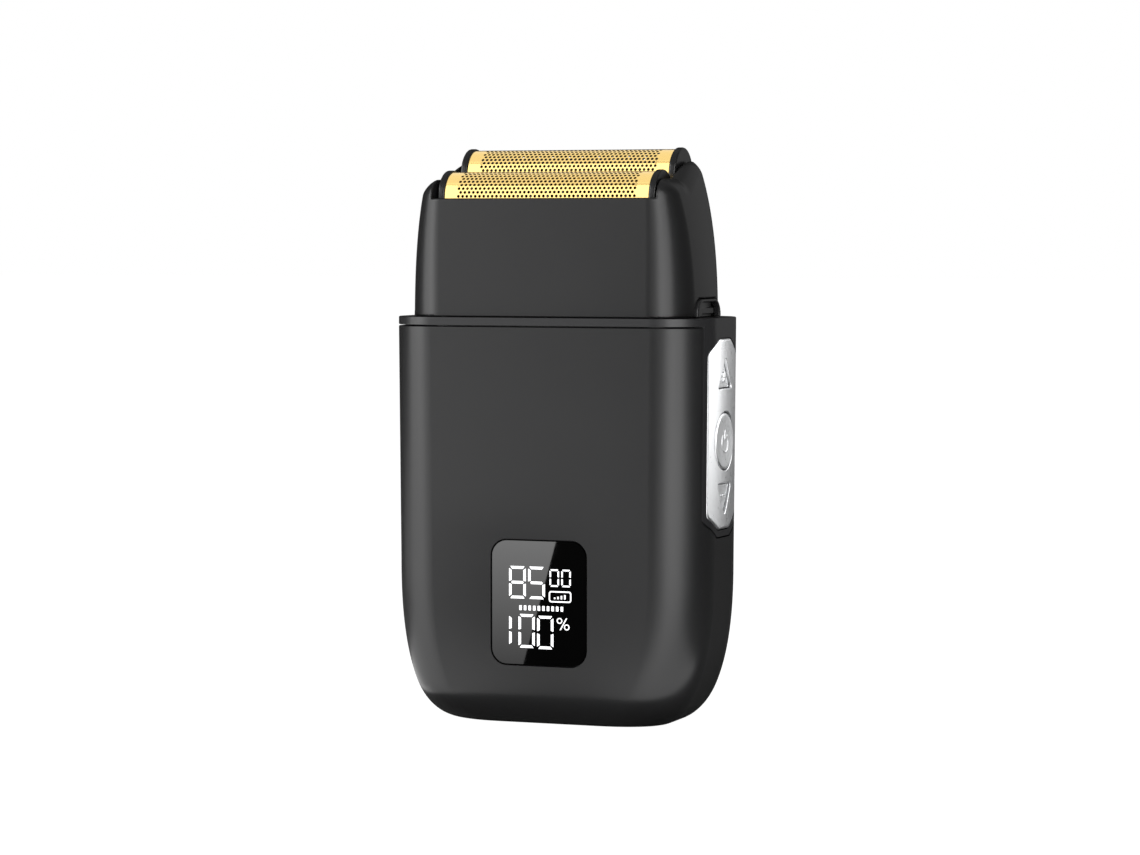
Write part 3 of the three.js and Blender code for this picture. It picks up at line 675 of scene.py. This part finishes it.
def make_top_frame():
    body = loft("top_frame_shell", flange_levels())
    boss = loft(
        "boss",
        [
            (69, boss_ring(0)),
            (BOSS_TOP - 0.5, boss_ring(0)),
            (BOSS_TOP - 0.15, boss_ring(0.15)),
            (BOSS_TOP, boss_ring(0.5)),
        ],
    )
    inner = handle_levels(2.5, HOUSING_TOP)
    skin = loft("skin", handle_levels(0, FLANGE_BOTTOM + 0.4))
    combine(skin, [loft("skin_hollow", inner + [(HOUSING_TOP + 3, inner[-1][1])])], "DIFFERENCE")
    combine(skin, [prism("tongue", tongue_outline(0), "X", 24, HALF_WIDTH + 1)], "INTERSECT")
    combine(body, [boss, skin], "UNION")
    inside = boss_ring(BOSS_WALL)
    hollow = loft("boss_hollow", [(60, inside), (BOSS_TOP - BOSS_WALL, inside)])
    sunk = handle_levels(1.05, HOUSING_TOP)
    pocket = loft("pocket", handle_levels(-1, HOUSING_TOP - 0.5))
    combine(pocket, [loft("pocket_core", sunk + [(HOUSING_TOP + 3, sunk[-1][1])])], "DIFFERENCE")
    combine(pocket, [prism("pocket_edge", strip_outline(0.15), "X", 26, HALF_WIDTH + 3)], "INTERSECT")
    cutters = [hollow, pocket] + key_cutters(0.2)
    for side in (-1, 1):
        low = min(side * 23, side * 27)
        cutters.append(prism("catch", rectangle_outline(4.4, 0.9, 0.2, 0, 76.2), "X", low, low + 4))
    for y in (FRONT_ROW_Y, REAR_ROW_Y):
        cutters.append(prism("slot", rectangle_outline(3.8, 1.9, 1.5, 0, y), "Z", BOSS_TOP - 3, BOSS_TOP + 1))
    for x in (-21.8, 21.8):
        for y in (-7.2, 7.2):
            cutters.append(prism("screw_well", circle_outline(x, y, 2.15, 32), "Z", 77.6, 80))
    combine(body, cutters, "DIFFERENCE")
    soften_edges(body, 0.12)
    shade(body)
    return place(body, FRAME, "handle", ["top_frame"])


def key_cutters(margin):
    centre = (POWER_LOW[2] + POWER_HIGH[2]) / 2
    return [
        prism("power_hole", circle_outline(0, centre, POWER_RADIUS + margin, 96), "X", 25, 33),
        prism("up_hole", arrow_outline("up_key", margin), "X", 25, 33),
        prism("down_hole", arrow_outline("down_key", margin), "X", 25, 33),
    ]


def strip_crown(y):
    """How far out the key strip's gently crowned face stands at Y."""
    return HALF_WIDTH + STRIP_CROWN - (STRIP_CROWN + 0.5) * (y / STRIP_HALF) ** 2


def convex_field(outline, u, v):
    """Signed distance to a convex outline, as the farthest of its edges."""
    following = outline[1:] + outline[:1]
    area = sum(a[0] * b[1] - b[0] * a[1] for a, b in zip(outline, following))
    turn = 1 if area > 0 else -1
    distance = np.full_like(u, -1e3)
    for a, b in zip(outline, following):
        du = b[0] - a[0]
        dv = b[1] - a[1]
        length = math.hypot(du, dv)
        if length > 1e-5:
            distance = np.maximum(distance, turn * ((u - a[0]) * dv - (v - a[1]) * du) / length)
    return distance


def make_key_strip():
    centre = (POWER_LOW[2] + POWER_HIGH[2]) / 2
    edge = strip_outline(0)
    arrows = [arrow_outline(node, KEY_GAP) for node in ("up_key", "down_key")]

    def field(x, y, z):
        level = x + TAPER * (HOUSING_TOP - z) - strip_crown(y)
        solid = round_cross(convex_field(edge, y, z), level, 0.45)
        solid = np.maximum(solid, -STRIP_THICKNESS - level)
        solid = round_cross(solid, POWER_RADIUS + KEY_GAP - np.hypot(y, z - centre), 0.15)
        for arrow in arrows:
            solid = round_cross(solid, -convex_field(arrow, y, z), 0.15)
        return solid

    low = (HALF_WIDTH - 2.6, -STRIP_HALF - 0.6, STRIP_LOW[2] - 0.6)
    high = (HALF_WIDTH + 0.8, STRIP_HALF + 0.6, STRIP_HIGH[2] + 0.6)
    plate, normals = field_mesh("key_strip_plate", field, low, high, 0.2)
    shade_by_field(plate, normals)
    return place(plate, CHROME, "handle", ["key_strip"])


def make_power_key():
    centre = (POWER_LOW[2] + POWER_HIGH[2]) / 2
    face = POWER_HIGH[0] + 0.28
    rows = [(face - 3.3, POWER_RADIUS), (face - 0.35, POWER_RADIUS), (face - 0.12, 5.12)]
    rows += [(face - 0.02, 4.9), (face + 0.02, 4.6)]
    rows += [(face - 0.03 * t, 4.6 * (1 - t)) for t in (0.25, 0.5, 0.75, 0.98)]
    levels = [(x, circle_outline(0, 0, radius, 72)) for x, radius in rows]
    key = loft("power_key_cap", levels)
    for vertex in key.data.vertices:
        u, v, level = vertex.co
        vertex.co = (level, u, v + centre)
    recalculate_normals(key)
    shade(key, 45)
    place(key, CHROME, "power_button", ["power_key"])
    mark = power_mark(face, centre)
    place(mark, CHROME, "power_button")
    return [key, mark]


def tube(name, points, radius, sides=8, closed=False):
    """A round bar along points in the key face (Y, Z) at a fixed X."""
    vertices = []
    faces = []
    count = len(points)
    for i, point in enumerate(points):
        before = Vector(points[i - 1] if (closed or i > 0) else points[i])
        after = Vector(points[(i + 1) % count] if (closed or i < count - 1) else points[i])
        along = (after - before).normalized()
        out = Vector((1, 0, 0))
        side = along.cross(out).normalized()
        for k in range(sides):
            angle = 2 * math.pi * k / sides
            vertices.append(tuple(Vector(point) + radius * (math.cos(angle) * side + math.sin(angle) * out)))
    for i in range(count if closed else count - 1):
        a = i * sides
        b = ((i + 1) % count) * sides
        for k in range(sides):
            m = (k + 1) % sides
            faces.append((a + k, a + m, b + m, b + k))
    if not closed:
        faces.append(tuple(reversed(range(sides))))
        faces.append(tuple(range((count - 1) * sides, count * sides)))
    obj = new_object(name, vertices, faces)
    recalculate_normals(obj)
    for polygon in obj.data.polygons:
        polygon.use_smooth = True
    return obj


def power_mark(face, centre):
    radius = 1.75
    arc = []
    for k in range(33):
        angle = math.radians(90 + 38 + (360 - 76) * k / 32)
        arc.append((face - 0.06, radius * math.cos(angle), centre + radius * math.sin(angle) - 0.25))
    bar = [(face - 0.06, 0, centre + 0.1 + 0.5 * k) for k in range(5)]
    return join_objects("power_mark", [tube("arc", arc, 0.14), tube("bar", bar, 0.14)])


def make_arrow_key(node, body, plus):
    low, high = box_mm(node)
    outline = arrow_outline(node, -0.02)
    key = prism(node + "_cap", outline, "X", low[0] + 0.6, high[0] - 0.15)
    soften_edges(key, 0.12)
    shade(key)
    place(key, CHROME, body, [node])
    up = node == "up_key"
    centre = low[2] + 2.35 if up else high[2] - 2.35
    face = high[0] - 0.04
    level = [(face, -0.95 + 0.475 * k, centre) for k in range(5)]
    parts = [tube("level", level, 0.2)]
    if plus:
        parts.append(tube("upright", [(face, 0, centre - 0.95 + 0.475 * k) for k in range(5)], 0.2))
    mark = join_objects(node + "_mark", parts)
    place(mark, CHROME, body)
    return [key, mark]


# ---------------------------------------------------------------- display


def make_lens():
    half_x = (LENS_HIGH[0] - LENS_LOW[0]) / 2
    half_z = (LENS_HIGH[2] - LENS_LOW[2]) / 2
    outline = rectangle_outline(half_x, half_z, 3.0, 0, LENS_Z, 12)
    lens = prism("display_window", outline, "Y", LENS_LOW[1], LENS_HIGH[1])
    soften_edges(lens, 0.12, 3)
    shade(lens)
    return place(lens, WINDOW, "handle", ["display_lens"])


def segment_shapes(w, h, t):
    """The seven segments of a numeral w wide and h high with strokes t thick."""
    g = 0.28 * t
    m = h / 2
    upper = [(0, h - t * 0.75), (0, m + g + 0.1 * t), (t, m + g + 0.45 * t), (t, h - t * 1.45)]
    lower = [(x, h - z) for x, z in upper]
    return {
        "top": [(t * 0.45, h), (w - t * 0.45, h), (w - t * 1.2, h - t), (t * 1.2, h - t)],
        "bottom": [(t * 0.45, 0), (w - t * 0.45, 0), (w - t * 1.2, t), (t * 1.2, t)],
        "middle": [
            (t * 0.85, m),
            (t * 1.2, m + t / 2),
            (w - t * 1.2, m + t / 2),
            (w - t * 0.85, m),
            (w - t * 1.2, m - t / 2),
            (t * 1.2, m - t / 2),
        ],
        "upper_left": upper,
        "lower_left": lower,
        "upper_right": [(w - x, z) for x, z in upper],
        "lower_right": [(w - x, z) for x, z in lower],
    }


NUMERALS = {
    "0": ["top", "bottom", "upper_left", "lower_left", "upper_right", "lower_right"],
    "1": ["upper_left", "lower_left"],
    "5": ["top", "middle", "bottom", "upper_left", "lower_right"],
    "8": ["top", "middle", "bottom", "upper_left", "lower_left", "upper_right", "lower_right"],
}


def flat_piece(outline, name="segment"):
    """A thin lit shape on the display window; outline is (X, Z) from the window's centre."""
    moved = [(x, z + LENS_Z) for x, z in outline]
    return prism(name, moved, "Y", LENS_FRONT - 0.03, LENS_FRONT + 0.02)


def numeral(figure, x, z, w, h, t):
    shapes = segment_shapes(w, h, t)
    pieces = []
    for part in NUMERALS[figure]:
        outline = [(x + u, z + v) for u, v in shapes[part]]
        pieces.append(flat_piece(rounded_polygon(outline, [0.05] * len(outline), 2)))
    return pieces


def ring_piece(cx, cz, radius, width, count=24):
    outer = [(cx + u, cz + v) for u, v in circle_outline(0, 0, radius, count)]
    inner = [(cx + u, cz + v) for u, v in circle_outline(0, 0, radius - width, count)]
    return band_piece(outer, inner)


def band_piece(outer, inner):
    """A thin lit band between two outlines with the same number of points."""
    count = len(outer)
    vertices = []
    for y in (LENS_FRONT - 0.03, LENS_FRONT + 0.02):
        vertices += [(x, y, z + LENS_Z) for x, z in outer]
        vertices += [(x, y, z + LENS_Z) for x, z in inner]
    faces = []
    for i in range(count):
        j = (i + 1) % count
        faces.append((i, j, j + count, i + count))
        faces.append((i + 2 * count, i + 3 * count, j + 3 * count, j + 2 * count))
        faces.append((i, i + 2 * count, j + 2 * count, j))
        faces.append((i + count, j + count, j + 3 * count, i + 3 * count))
    obj = new_object("band", vertices, faces)
    recalculate_normals(obj)
    return obj


def make_display_figures():
    pieces = []
    pieces += numeral("8", -5.8, 0.72, 3.3, 5.95, 0.5)
    pieces += numeral("5", -2.05, 0.72, 3.3, 5.95, 0.5)
    pieces += numeral("0", 2.15, 3.1, 1.85, 3.2, 0.3)
    pieces += numeral("0", 4.45, 3.1, 1.85, 3.2, 0.3)
    pieces += numeral("1", -5.8, -8.15, 3.3, 6.0, 0.52)
    pieces += numeral("0", -3.95, -8.3, 3.2, 6.2, 0.5)
    pieces += numeral("0", -0.3, -8.4, 3.2, 6.1, 0.5)
    outer = rectangle_outline(2.2, 1.04, 0.5, 4.2, 1.28)
    inner = rectangle_outline(1.95, 0.79, 0.3, 4.2, 1.28)
    pieces.append(band_piece(outer, inner))
    for k in range(4):
        x = 3.0 + 0.66 * k
        top = 1.15 + 0.17 * k
        pieces.append(flat_piece([(x, 0.85), (x + 0.3, 0.85), (x + 0.3, top), (x, top)]))
    for k in range(10):
        x = -3.85 + 0.9 * k
        pieces.append(flat_piece(rectangle_outline(0.25, 0.45, 0.1, x + 0.3, -0.95, 3)))
    pieces.append(ring_piece(4.1, -3.1, 0.55, 0.2))
    pieces.append(ring_piece(5.5, -4.25, 0.55, 0.2))
    pieces.append(flat_piece([(4.1, -4.8), (4.36, -4.8), (5.6, -2.6), (5.34, -2.6)]))
    figures = join_objects("display_figures", pieces)
    return place(figures, SEGMENT, "handle")


# ---------------------------------------------------------------- head


def head_plan(x, y, z, inset):
    """Signed distance to the head's plan outline, which draws in towards the top."""
    rise = np.clip((z - HEAD_LOW[2]) / 20, 0, 1.6)
    half_x = 27.6 - inset - 1.4 * rise**2 - 0.3 * rise**4 - 0.7 * (y / 13.3) ** 2
    front = -13.3 + inset + 0.25 * rise
    back = 13.3 - inset - 1.15 * rise**2
    middle = (front + back) / 2
    half_y = (back - front) / 2
    corner = np.where(y < middle, 6.8, 8.0) - 2.2 * np.clip((z - HEAD_LOW[2]) / 22.8, 0, 1.15) ** 2
    return rounded_box(x, y - middle, half_x, half_y, corner - inset)


def head_lobes(y, z):
    """Signed distance to the head's side outline: a front lobe and a slope up to the rear lobe."""
    front = rounded_box(y + 10.5, z - (FRONT_LOBE_TOP - 30), 7.2, 30, 3.2)
    rear = rounded_box(y + 3.3, z - (REAR_LOBE_TOP - 30), 16.7, 30, 5.6)
    slope = (z - 100.6 - 0.45 * (y + 4.73)) * 0.912
    return round_join(front, round_cross(rear, slope, 2.5), 0.7)


def block_field(x, y, z, low, high, radius=0.2):
    cx, cy, cz = [(a + b) / 2 for a, b in zip(low, high)]
    hx, hy, hz = [(b - a) / 2 for a, b in zip(low, high)]
    qx = np.abs(x - cx) - hx + radius
    qy = np.abs(y - cy) - hy + radius
    qz = np.abs(z - cz) - hz + radius
    outside = np.sqrt(np.maximum(qx, 0) ** 2 + np.maximum(qy, 0) ** 2 + np.maximum(qz, 0) ** 2)
    return outside + np.minimum(np.maximum(np.maximum(qx, qy), qz), 0) - radius


def arch_field(y, z, margin):
    """Side view of a release button: a low arch open at the bottom."""
    return rounded_box(y, z - 73.4, 6.6 + margin, 5 + margin, 3.0)


def head_field(x, y, z):
    outer = round_cross(head_plan(x, y, z, 0), head_lobes(y, z), HEAD_ROUNDING)
    base = HEAD_LOW[2] - 0.12 - z
    solid = round_cross(outer, base, 0.25)
    inner = np.maximum(head_plan(x, y, z, HEAD_WALL), z - HEAD_CAVITY_TOP)
    mouth = np.maximum(rounded_box(x, y + 0.55, MOUTH_HALF, 11.15, 0.8), 80 - z)
    front = np.maximum(np.maximum(np.abs(x) - MOUTH_HALF, y + 8), FRONT_RIM - z)
    back = np.maximum(np.maximum(np.abs(x) - MOUTH_HALF, 6 - y), BACK_RIM - z)
    opening = np.minimum(np.minimum(mouth, front), back)
    solid = round_cross(solid, -opening, 0.35)
    solid = np.maximum(solid, -inner)
    notch = np.maximum(arch_field(y, z, 0.16), 23 - np.abs(x))
    solid = round_cross(solid, -notch, 0.2)
    for low_y, top in ((-8.4, 86.2), (2.6, 90.4)):
        for side in (-1, 1):
            ends = sorted((side * 19.3, side * 26.2))
            shelf = block_field(x, y, z, (ends[0], low_y, top - 1.4), (ends[1], low_y + 4.8, top))
            solid = np.minimum(solid, shelf)
    return solid


def make_head_cover():
    low = (-28.6, -14.2, HEAD_LOW[2] - 0.8)
    high = (28.6, 14.2, HEAD_HIGH[2] + 1.2)
    step = 0.33
    cover, normals = field_mesh("head_cover_shell", head_field, low, high, step)
    shade_by_field(cover, normals)
    return place(cover, HEAD, "head", ["head_cover"])


def make_release_button(side):
    def field(x, y, z):
        face = side * x
        pad = round_cross(arch_field(y, z, 0), np.maximum(face - RELEASE_FACE, 26.8 - face), 0.35)
        pad = round_cross(pad, 75.1 - z, 0.1)
        dish = rounded_box(y - 0.1, z - 73.7, 5.5, 4.15, 2.3)
        slant = 27.55 - 0.06 * (y + 5.5)
        well = np.maximum(dish, slant - face)
        pad = round_cross(pad, -well, 0.2)
        tail = block_field(x * side, y, z, (22.6, -4, 75.6), (27.4, 4, 76.8))
        return np.minimum(pad, tail)

    ends = sorted((side * 22.2, side * 28.9))
    name = "release_button_" + ("right" if side > 0 else "left")
    button, normals = field_mesh(name + "_pad", field, (ends[0], -7, 74.8), (ends[1], 7, 79.2), 0.2)
    shade_by_field(button, normals)
    body = "right_release" if side > 0 else "left_release"
    return place(button, FRAME, body, [name])


# ---------------------------------------------------------------- foils


def foil_point(x, s, radius, skirt):
    """A point of the foil sheet: s runs from the front skirt's lower edge, over the arch, to the rear one."""
    arch = math.pi * radius
    if s < skirt:
        return (x, -radius, s - skirt)
    if s > skirt + arch:
        return (x, radius, skirt + arch - s)
    angle = (s - skirt) / radius
    return (x, -radius * math.cos(angle), radius * math.sin(angle))


def make_foil(side):
    """A perforated foil: round holes in staggered rows between plain ends."""
    low, high = box_mm(side + "_foil")
    radius = (high[1] - low[1]) / 2 - 0.06
    middle = (high[1] + low[1]) / 2
    centre_z = high[2] - (high[1] - low[1]) / 2
    skirt = centre_z - low[2]
    columns = 42
    pitch = 0.84
    rows = 21
    arch = math.pi * radius
    row_height = arch / rows
    start_x = -columns * pitch / 2
    hole = 0.3
    vertices = []
    known = {}
    faces = []

    def vertex(x, s):
        key = (round(x, 4), round(s, 4))
        if key not in known:
            known[key] = len(vertices)
            px, py, pz = foil_point(x, s, radius, skirt)
            vertices.append((px, py + middle, pz + centre_z))
        return known[key]

    def cell_rim(x0, x1, s0, s1):
        xm, sm = (x0 + x1) / 2, (s0 + s1) / 2
        return [(x0, s0), (xm, s0), (x1, s0), (x1, sm), (x1, s1), (xm, s1), (x0, s1), (x0, sm)]

    def plain(x0, x1, s0, s1):
        faces.append([vertex(*p) for p in cell_rim(x0, x1, s0, s1)])

    def holed(x0, x1, s0, s1):
        xm, sm = (x0 + x1) / 2, (s0 + s1) / 2
        rim = cell_rim(x0, x1, s0, s1)
        inner = []
        for k in range(8):
            angle = math.radians(225 + 45 * k)
            inner.append((xm + hole * math.cos(angle), sm + hole * math.sin(angle)))
        for k in range(8):
            m = (k + 1) % 8
            faces.append([vertex(*rim[k]), vertex(*rim[m]), vertex(*inner[m]), vertex(*inner[k])])

    for row in range(rows):
        s0 = skirt + row * row_height
        s1 = s0 + row_height
        if row % 2 == 0:
            for c in range(columns):
                holed(start_x + c * pitch, start_x + (c + 1) * pitch, s0, s1)
        else:
            plain(start_x, start_x + pitch / 2, s0, s1)
            plain(-start_x - pitch / 2, -start_x, s0, s1)
            for c in range(columns - 1):
                left = start_x + (c + 0.5) * pitch
                holed(left, left + pitch, s0, s1)
        for end in (-1, 1):
            inner = end * -start_x
            outer = end * high[0]
            sm = (s0 + s1) / 2
            strip = [(inner, s0), (outer, s0), (outer, sm), (outer, s1), (inner, s1), (inner, sm)]
            faces.append([vertex(*p) for p in (strip if end > 0 else strip[::-1])])
    for s0, s1 in ((0.3, skirt), (skirt + arch, 2 * skirt + arch - 0.3)):
        marks = [low[0], start_x]
        marks += [start_x + (k + 1) * pitch / 2 for k in range(2 * columns)]
        marks.append(high[0])
        for a, b in zip(marks[:-1], marks[1:]):
            faces.append([vertex(a, s0), vertex(b, s0), vertex(b, s1), vertex(a, s1)])
    foil = new_object(side + "_foil_sheet", vertices, faces)
    recalculate_normals(foil)
    sheet = foil.modifiers.new("sheet", "SOLIDIFY")
    sheet.thickness = 0.14
    sheet.offset = -1
    # The underside and the hole walls take the second material, near black as painted shade inside the holes
    sheet.material_offset = 1
    sheet.material_offset_rim = 1
    foil.data.materials.append(GOLD)
    foil.data.materials.append(FOIL_INSIDE_PAINTED_SHADE)
    bake_modifiers(foil)
    shade(foil, 40)
    inside = [polygon.material_index for polygon in foil.data.polygons]
    place(foil, GOLD, side + "_foil_unit", [side + "_foil"])
    foil.data.materials.append(FOIL_INSIDE_PAINTED_SHADE)
    foil.data.polygons.foreach_set("material_index", inside)
    return foil


def make_cassette(side):
    low, high = box_mm(side + "_cassette")
    radius = (high[1] - low[1]) / 2
    middle = (high[1] + low[1]) / 2
    centre_z = high[2] - radius
    inner = box_mm(side + "_foil")[1][0] + 0.05

    def cap_field(x, y, z):
        along = np.maximum(x - high[0], inner - x)
        arch = np.where(z > centre_z, np.hypot(y - middle, z - centre_z), np.abs(y - middle)) - radius
        shape = np.maximum(arch, low[2] - z)
        return round_cross(shape, along, 0.35)

    pieces = []
    reach = (inner - 0.6, low[1] - 0.6, low[2] - 0.6), (high[0] + 0.6, high[1] + 0.6, high[2] + 0.6)
    for mirror in (1, -1):
        cap, _ = field_mesh("cap", cap_field, reach[0], reach[1], 0.17)
        if mirror < 0:
            cap.data.transform(Matrix.Scale(-1, 4, (1, 0, 0)))
            cap.data.flip_normals()
        pieces.append(cap)
    for y in (low[1] + 0.15, high[1] - 0.15):
        outline = rectangle_outline(0.13, 1.75, 0.08, y, low[2] + 1.75, 2)
        pieces.append(prism("rail", outline, "X", -inner - 0.4, inner + 0.4))
    for end in (-1, 1):
        ends = sorted((end * 19.25, end * (inner + 0.6)))
        pieces.append(prism("foot", rectangle_outline(4, 0.6, 0.2, middle, low[2] + 0.6, 2), "X", *ends))
    cassette = join_objects(side + "_cassette_frame", pieces)
    shade(cassette, 50)
    return place(cassette, CASSETTE, side + "_foil_unit", [side + "_cassette"])


# ---------------------------------------------------------------- the CAD pieces that stay


def dress_cad_nodes():
    looks = {
        "inner_plastic": INNER,
        "circuit_board": BOARD,
        "screw_steel": STEEL,
        "spring_steel": STEEL,
        "port_steel": STEEL,
        "motor_steel": STEEL,
        "cutter_steel": BLADE_WITH_PAINTED_SHADE,
        "cell_wrap": CELL,
        "drive_plastic": DRIVE,
        "seal_rubber": SEAL,
        "display_black": INNER,
        "satin_chrome": CHROME,
        "frame_plastic": FRAME,
        "shell_plastic": SHELL,
        "head_plastic": HEAD,
        "cassette_plastic": CASSETTE,
        "gold_foil": GOLD,
        "display_window": WINDOW,
    }
    slots = {part["node"]: part["material_slot"] for part in frame["record"]["subparts"]}
    for node, obj in frame["nodes"].items():
        material = looks[slots[node]]
        obj.data.materials.clear()
        obj.data.materials.append(material)


# ---------------------------------------------------------------- stage, light and camera


def make_floor():
    half = 6.0
    corners = [(-half, -half, 0), (half, -half, 0), (half, half, 0), (-half, half, 0)]
    floor = new_object("floor", corners, [(0, 1, 2, 3)])
    floor.data.materials.append(floor_material("pale_floor"))


def receivers(name, pieces, state):
    """A group of pieces that a light reaches (INCLUDE) or misses (EXCLUDE)."""
    group = bpy.data.collections.new(name)
    for piece in pieces:
        group.objects.link(piece)
    for link in group.collection_objects:
        link.light_linking.link_state = state
    return group


def light_only(light, pieces):
    light.light_linking.receiver_collection = receivers(light.name + "_pieces", pieces, "INCLUDE")


def new_light(name, width, height, radiance):
    """A rectangular soft box with the same brightness all over, unseen by the camera."""
    data = bpy.data.lights.new(name, "AREA")
    data.shape = "RECTANGLE"
    data.size = width
    data.size_y = height
    data.energy = radiance * math.pi * width * height
    light = bpy.data.objects.new(name, data)
    light.visible_camera = False
    bpy.context.scene.collection.objects.link(light)
    return light


def add_soft_box(name, azimuth, elevation, distance, width, height, radiance):
    """A soft box at an azimuth (0 is the front, positive to the right) and elevation round the shaver."""
    light = new_light(name, width, height, radiance)
    turn = math.radians(azimuth)
    lift = math.radians(elevation)
    way = Vector((math.sin(turn) * math.cos(lift), -math.cos(turn) * math.cos(lift), math.sin(lift)))
    light.location = Vector((0, 0, 0.055)) + way * distance
    light.rotation_euler = (-way).to_track_quat("-Z", "Y").to_euler()
    return light


def add_bounce_card(name, azimuth, near, far, width, radiance):
    """A reflector lying on the floor, which carries a soft box's light down to the shaver's foot."""
    light = new_light(name, width, far - near, radiance)
    turn = math.radians(azimuth)
    middle = (near + far) / 2
    light.location = (middle * math.sin(turn), -middle * math.cos(turn), 0.002)
    light.rotation_euler = (math.pi, 0, turn)
    return light


def make_world():
    world = bpy.data.worlds.new("studio")
    world.use_nodes = True
    bpy.context.scene.world = world
    nodes = world.node_tree.nodes
    links = world.node_tree.links
    backdrop = nodes["Background"]
    backdrop.inputs["Color"].default_value = (1, 1, 1, 1)
    backdrop.inputs["Strength"].default_value = 1.0
    surround = nodes.new("ShaderNodeBackground")
    surround.inputs["Color"].default_value = (1, 1, 1, 1)
    surround.inputs["Strength"].default_value = 0.05
    path = nodes.new("ShaderNodeLightPath")
    mix = nodes.new("ShaderNodeMixShader")
    links.new(path.outputs["Is Camera Ray"], mix.inputs["Fac"])
    links.new(surround.outputs["Background"], mix.inputs[1])
    links.new(backdrop.outputs["Background"], mix.inputs[2])
    links.new(mix.outputs["Shader"], nodes["World Output"].inputs["Surface"])


def graded_glow(name, low, high):
    """A glow that grows from one strength at the foot of a card to another at its top."""
    material = bpy.data.materials.new(name)
    material.use_nodes = True
    nodes = material.node_tree.nodes
    links = material.node_tree.links
    nodes.remove(nodes["Principled BSDF"])
    coordinates = nodes.new("ShaderNodeTexCoord")
    split = nodes.new("ShaderNodeSeparateXYZ")
    glow = nodes.new("ShaderNodeEmission")
    links.new(coordinates.outputs["Generated"], split.inputs["Vector"])
    vary(nodes, links, split.outputs["Z"], low, high, glow.inputs["Strength"])
    links.new(glow.outputs["Emission"], nodes["Material Output"].inputs["Surface"])
    return material


def make_window_card(window):
    """A slanted card in front of the shaver, which only the display window reflects."""
    corners = [(-24.6, 28.5), (-32.4, 0.9), (-48, 0.9), (-48, 28.5)]
    card = new_object("window_card", [(x * MM, -0.088, z * MM) for x, z in corners], [(0, 1, 2, 3)])
    card.data.materials.append(graded_glow("window_card_glow", 5.0, 17.0))
    card.visible_camera = False
    card.visible_diffuse = False
    card.visible_shadow = False
    card.visible_transmission = False
    light_only(card, [window])


def make_lights(chrome, foils, window):
    tall_boxes = [
        ("left_outer", -70, 2.5),
        ("left_middle", -50, 3.9),
        ("left_inner", -30, 1.35),
        ("front_faint", 10, 0.74),
        ("right_inner", 30, 3.2),
        ("right_outer", 50, 2.3),
        ("side_faint", 130, 0.03),
    ]
    plastics = [add_soft_box(name, azimuth, 14, 0.9, 0.31, 0.9, glow) for name, azimuth, glow in tall_boxes]
    plastics += [
        add_soft_box("back_faint", 160, 14, 0.9, 0.44, 0.9, 0.2),
        add_soft_box("overhead", 180, 88, 0.9, 1.3, 1.5, 0.18),
        add_bounce_card("left_near", -60, 0.03, 0.2, 0.10, 1.2),
        add_bounce_card("left_far", -60, 0.2, 0.9, 0.5, 1.6),
        add_bounce_card("right_near", 43, 0.03, 0.2, 0.08, 1.5),
        add_bounce_card("right_far", 43, 0.2, 0.9, 0.35, 3.5),
        add_bounce_card("front_low", -21, 0.03, 0.9, 0.2, 0.3),
    ]
    others = receivers("not_for_plastics", foils + [window], "EXCLUDE")
    for light in plastics:
        light.light_linking.receiver_collection = others
    light_only(add_soft_box("strip_bright", 126, 8, 0.9, 0.84, 1.2, 3.0), chrome)
    light_only(add_soft_box("strip_faint", 180, 8, 0.9, 0.60, 1.2, 0.09), chrome)
    light_only(add_soft_box("foil_front", -20, 21, 0.9, 1.5, 1.21, 1.8), foils)
    light_only(add_soft_box("foil_gap", -20, 59, 0.9, 1.5, 0.16, 0.3), foils)
    light_only(add_soft_box("foil_top", 180, 73, 0.9, 2.2, 1.7, 0.95), foils)


def make_camera():
    data = bpy.data.cameras.new("camera")
    data.sensor_width = 36
    data.lens = 36 * 3619 / 1140
    data.clip_start = 0.01
    data.clip_end = 30
    camera = bpy.data.objects.new("camera", data)
    turn = math.radians(20.8)
    drop = math.radians(3.1)
    look = Vector((-math.sin(turn) * math.cos(drop), math.cos(turn) * math.cos(drop), -math.sin(drop)))
    right = Vector((math.cos(turn), math.sin(turn), 0))
    up = right.cross(look)
    rotation = Matrix((right, up, -look)).transposed()
    camera.matrix_world = Matrix.Translation((0.2392, -0.6280, 0.0907)) @ rotation.to_4x4()
    bpy.context.scene.collection.objects.link(camera)
    bpy.context.scene.camera = camera


dress_cad_nodes()
make_housing()
make_top_frame()
chrome = [make_key_strip()]
chrome += make_power_key()
chrome += make_arrow_key("up_key", "up_button", True)
chrome += make_arrow_key("down_key", "down_button", False)
window = make_lens()
make_display_figures()
make_head_cover()
make_release_button(1)
make_release_button(-1)
foils = [make_foil("front"), make_foil("rear")]
make_cassette("front")
make_cassette("rear")
make_floor()
make_world()
make_lights(chrome, foils, window)
make_window_card(window)
make_camera()
bpy.context.scene.view_settings.view_transform = "Standard"
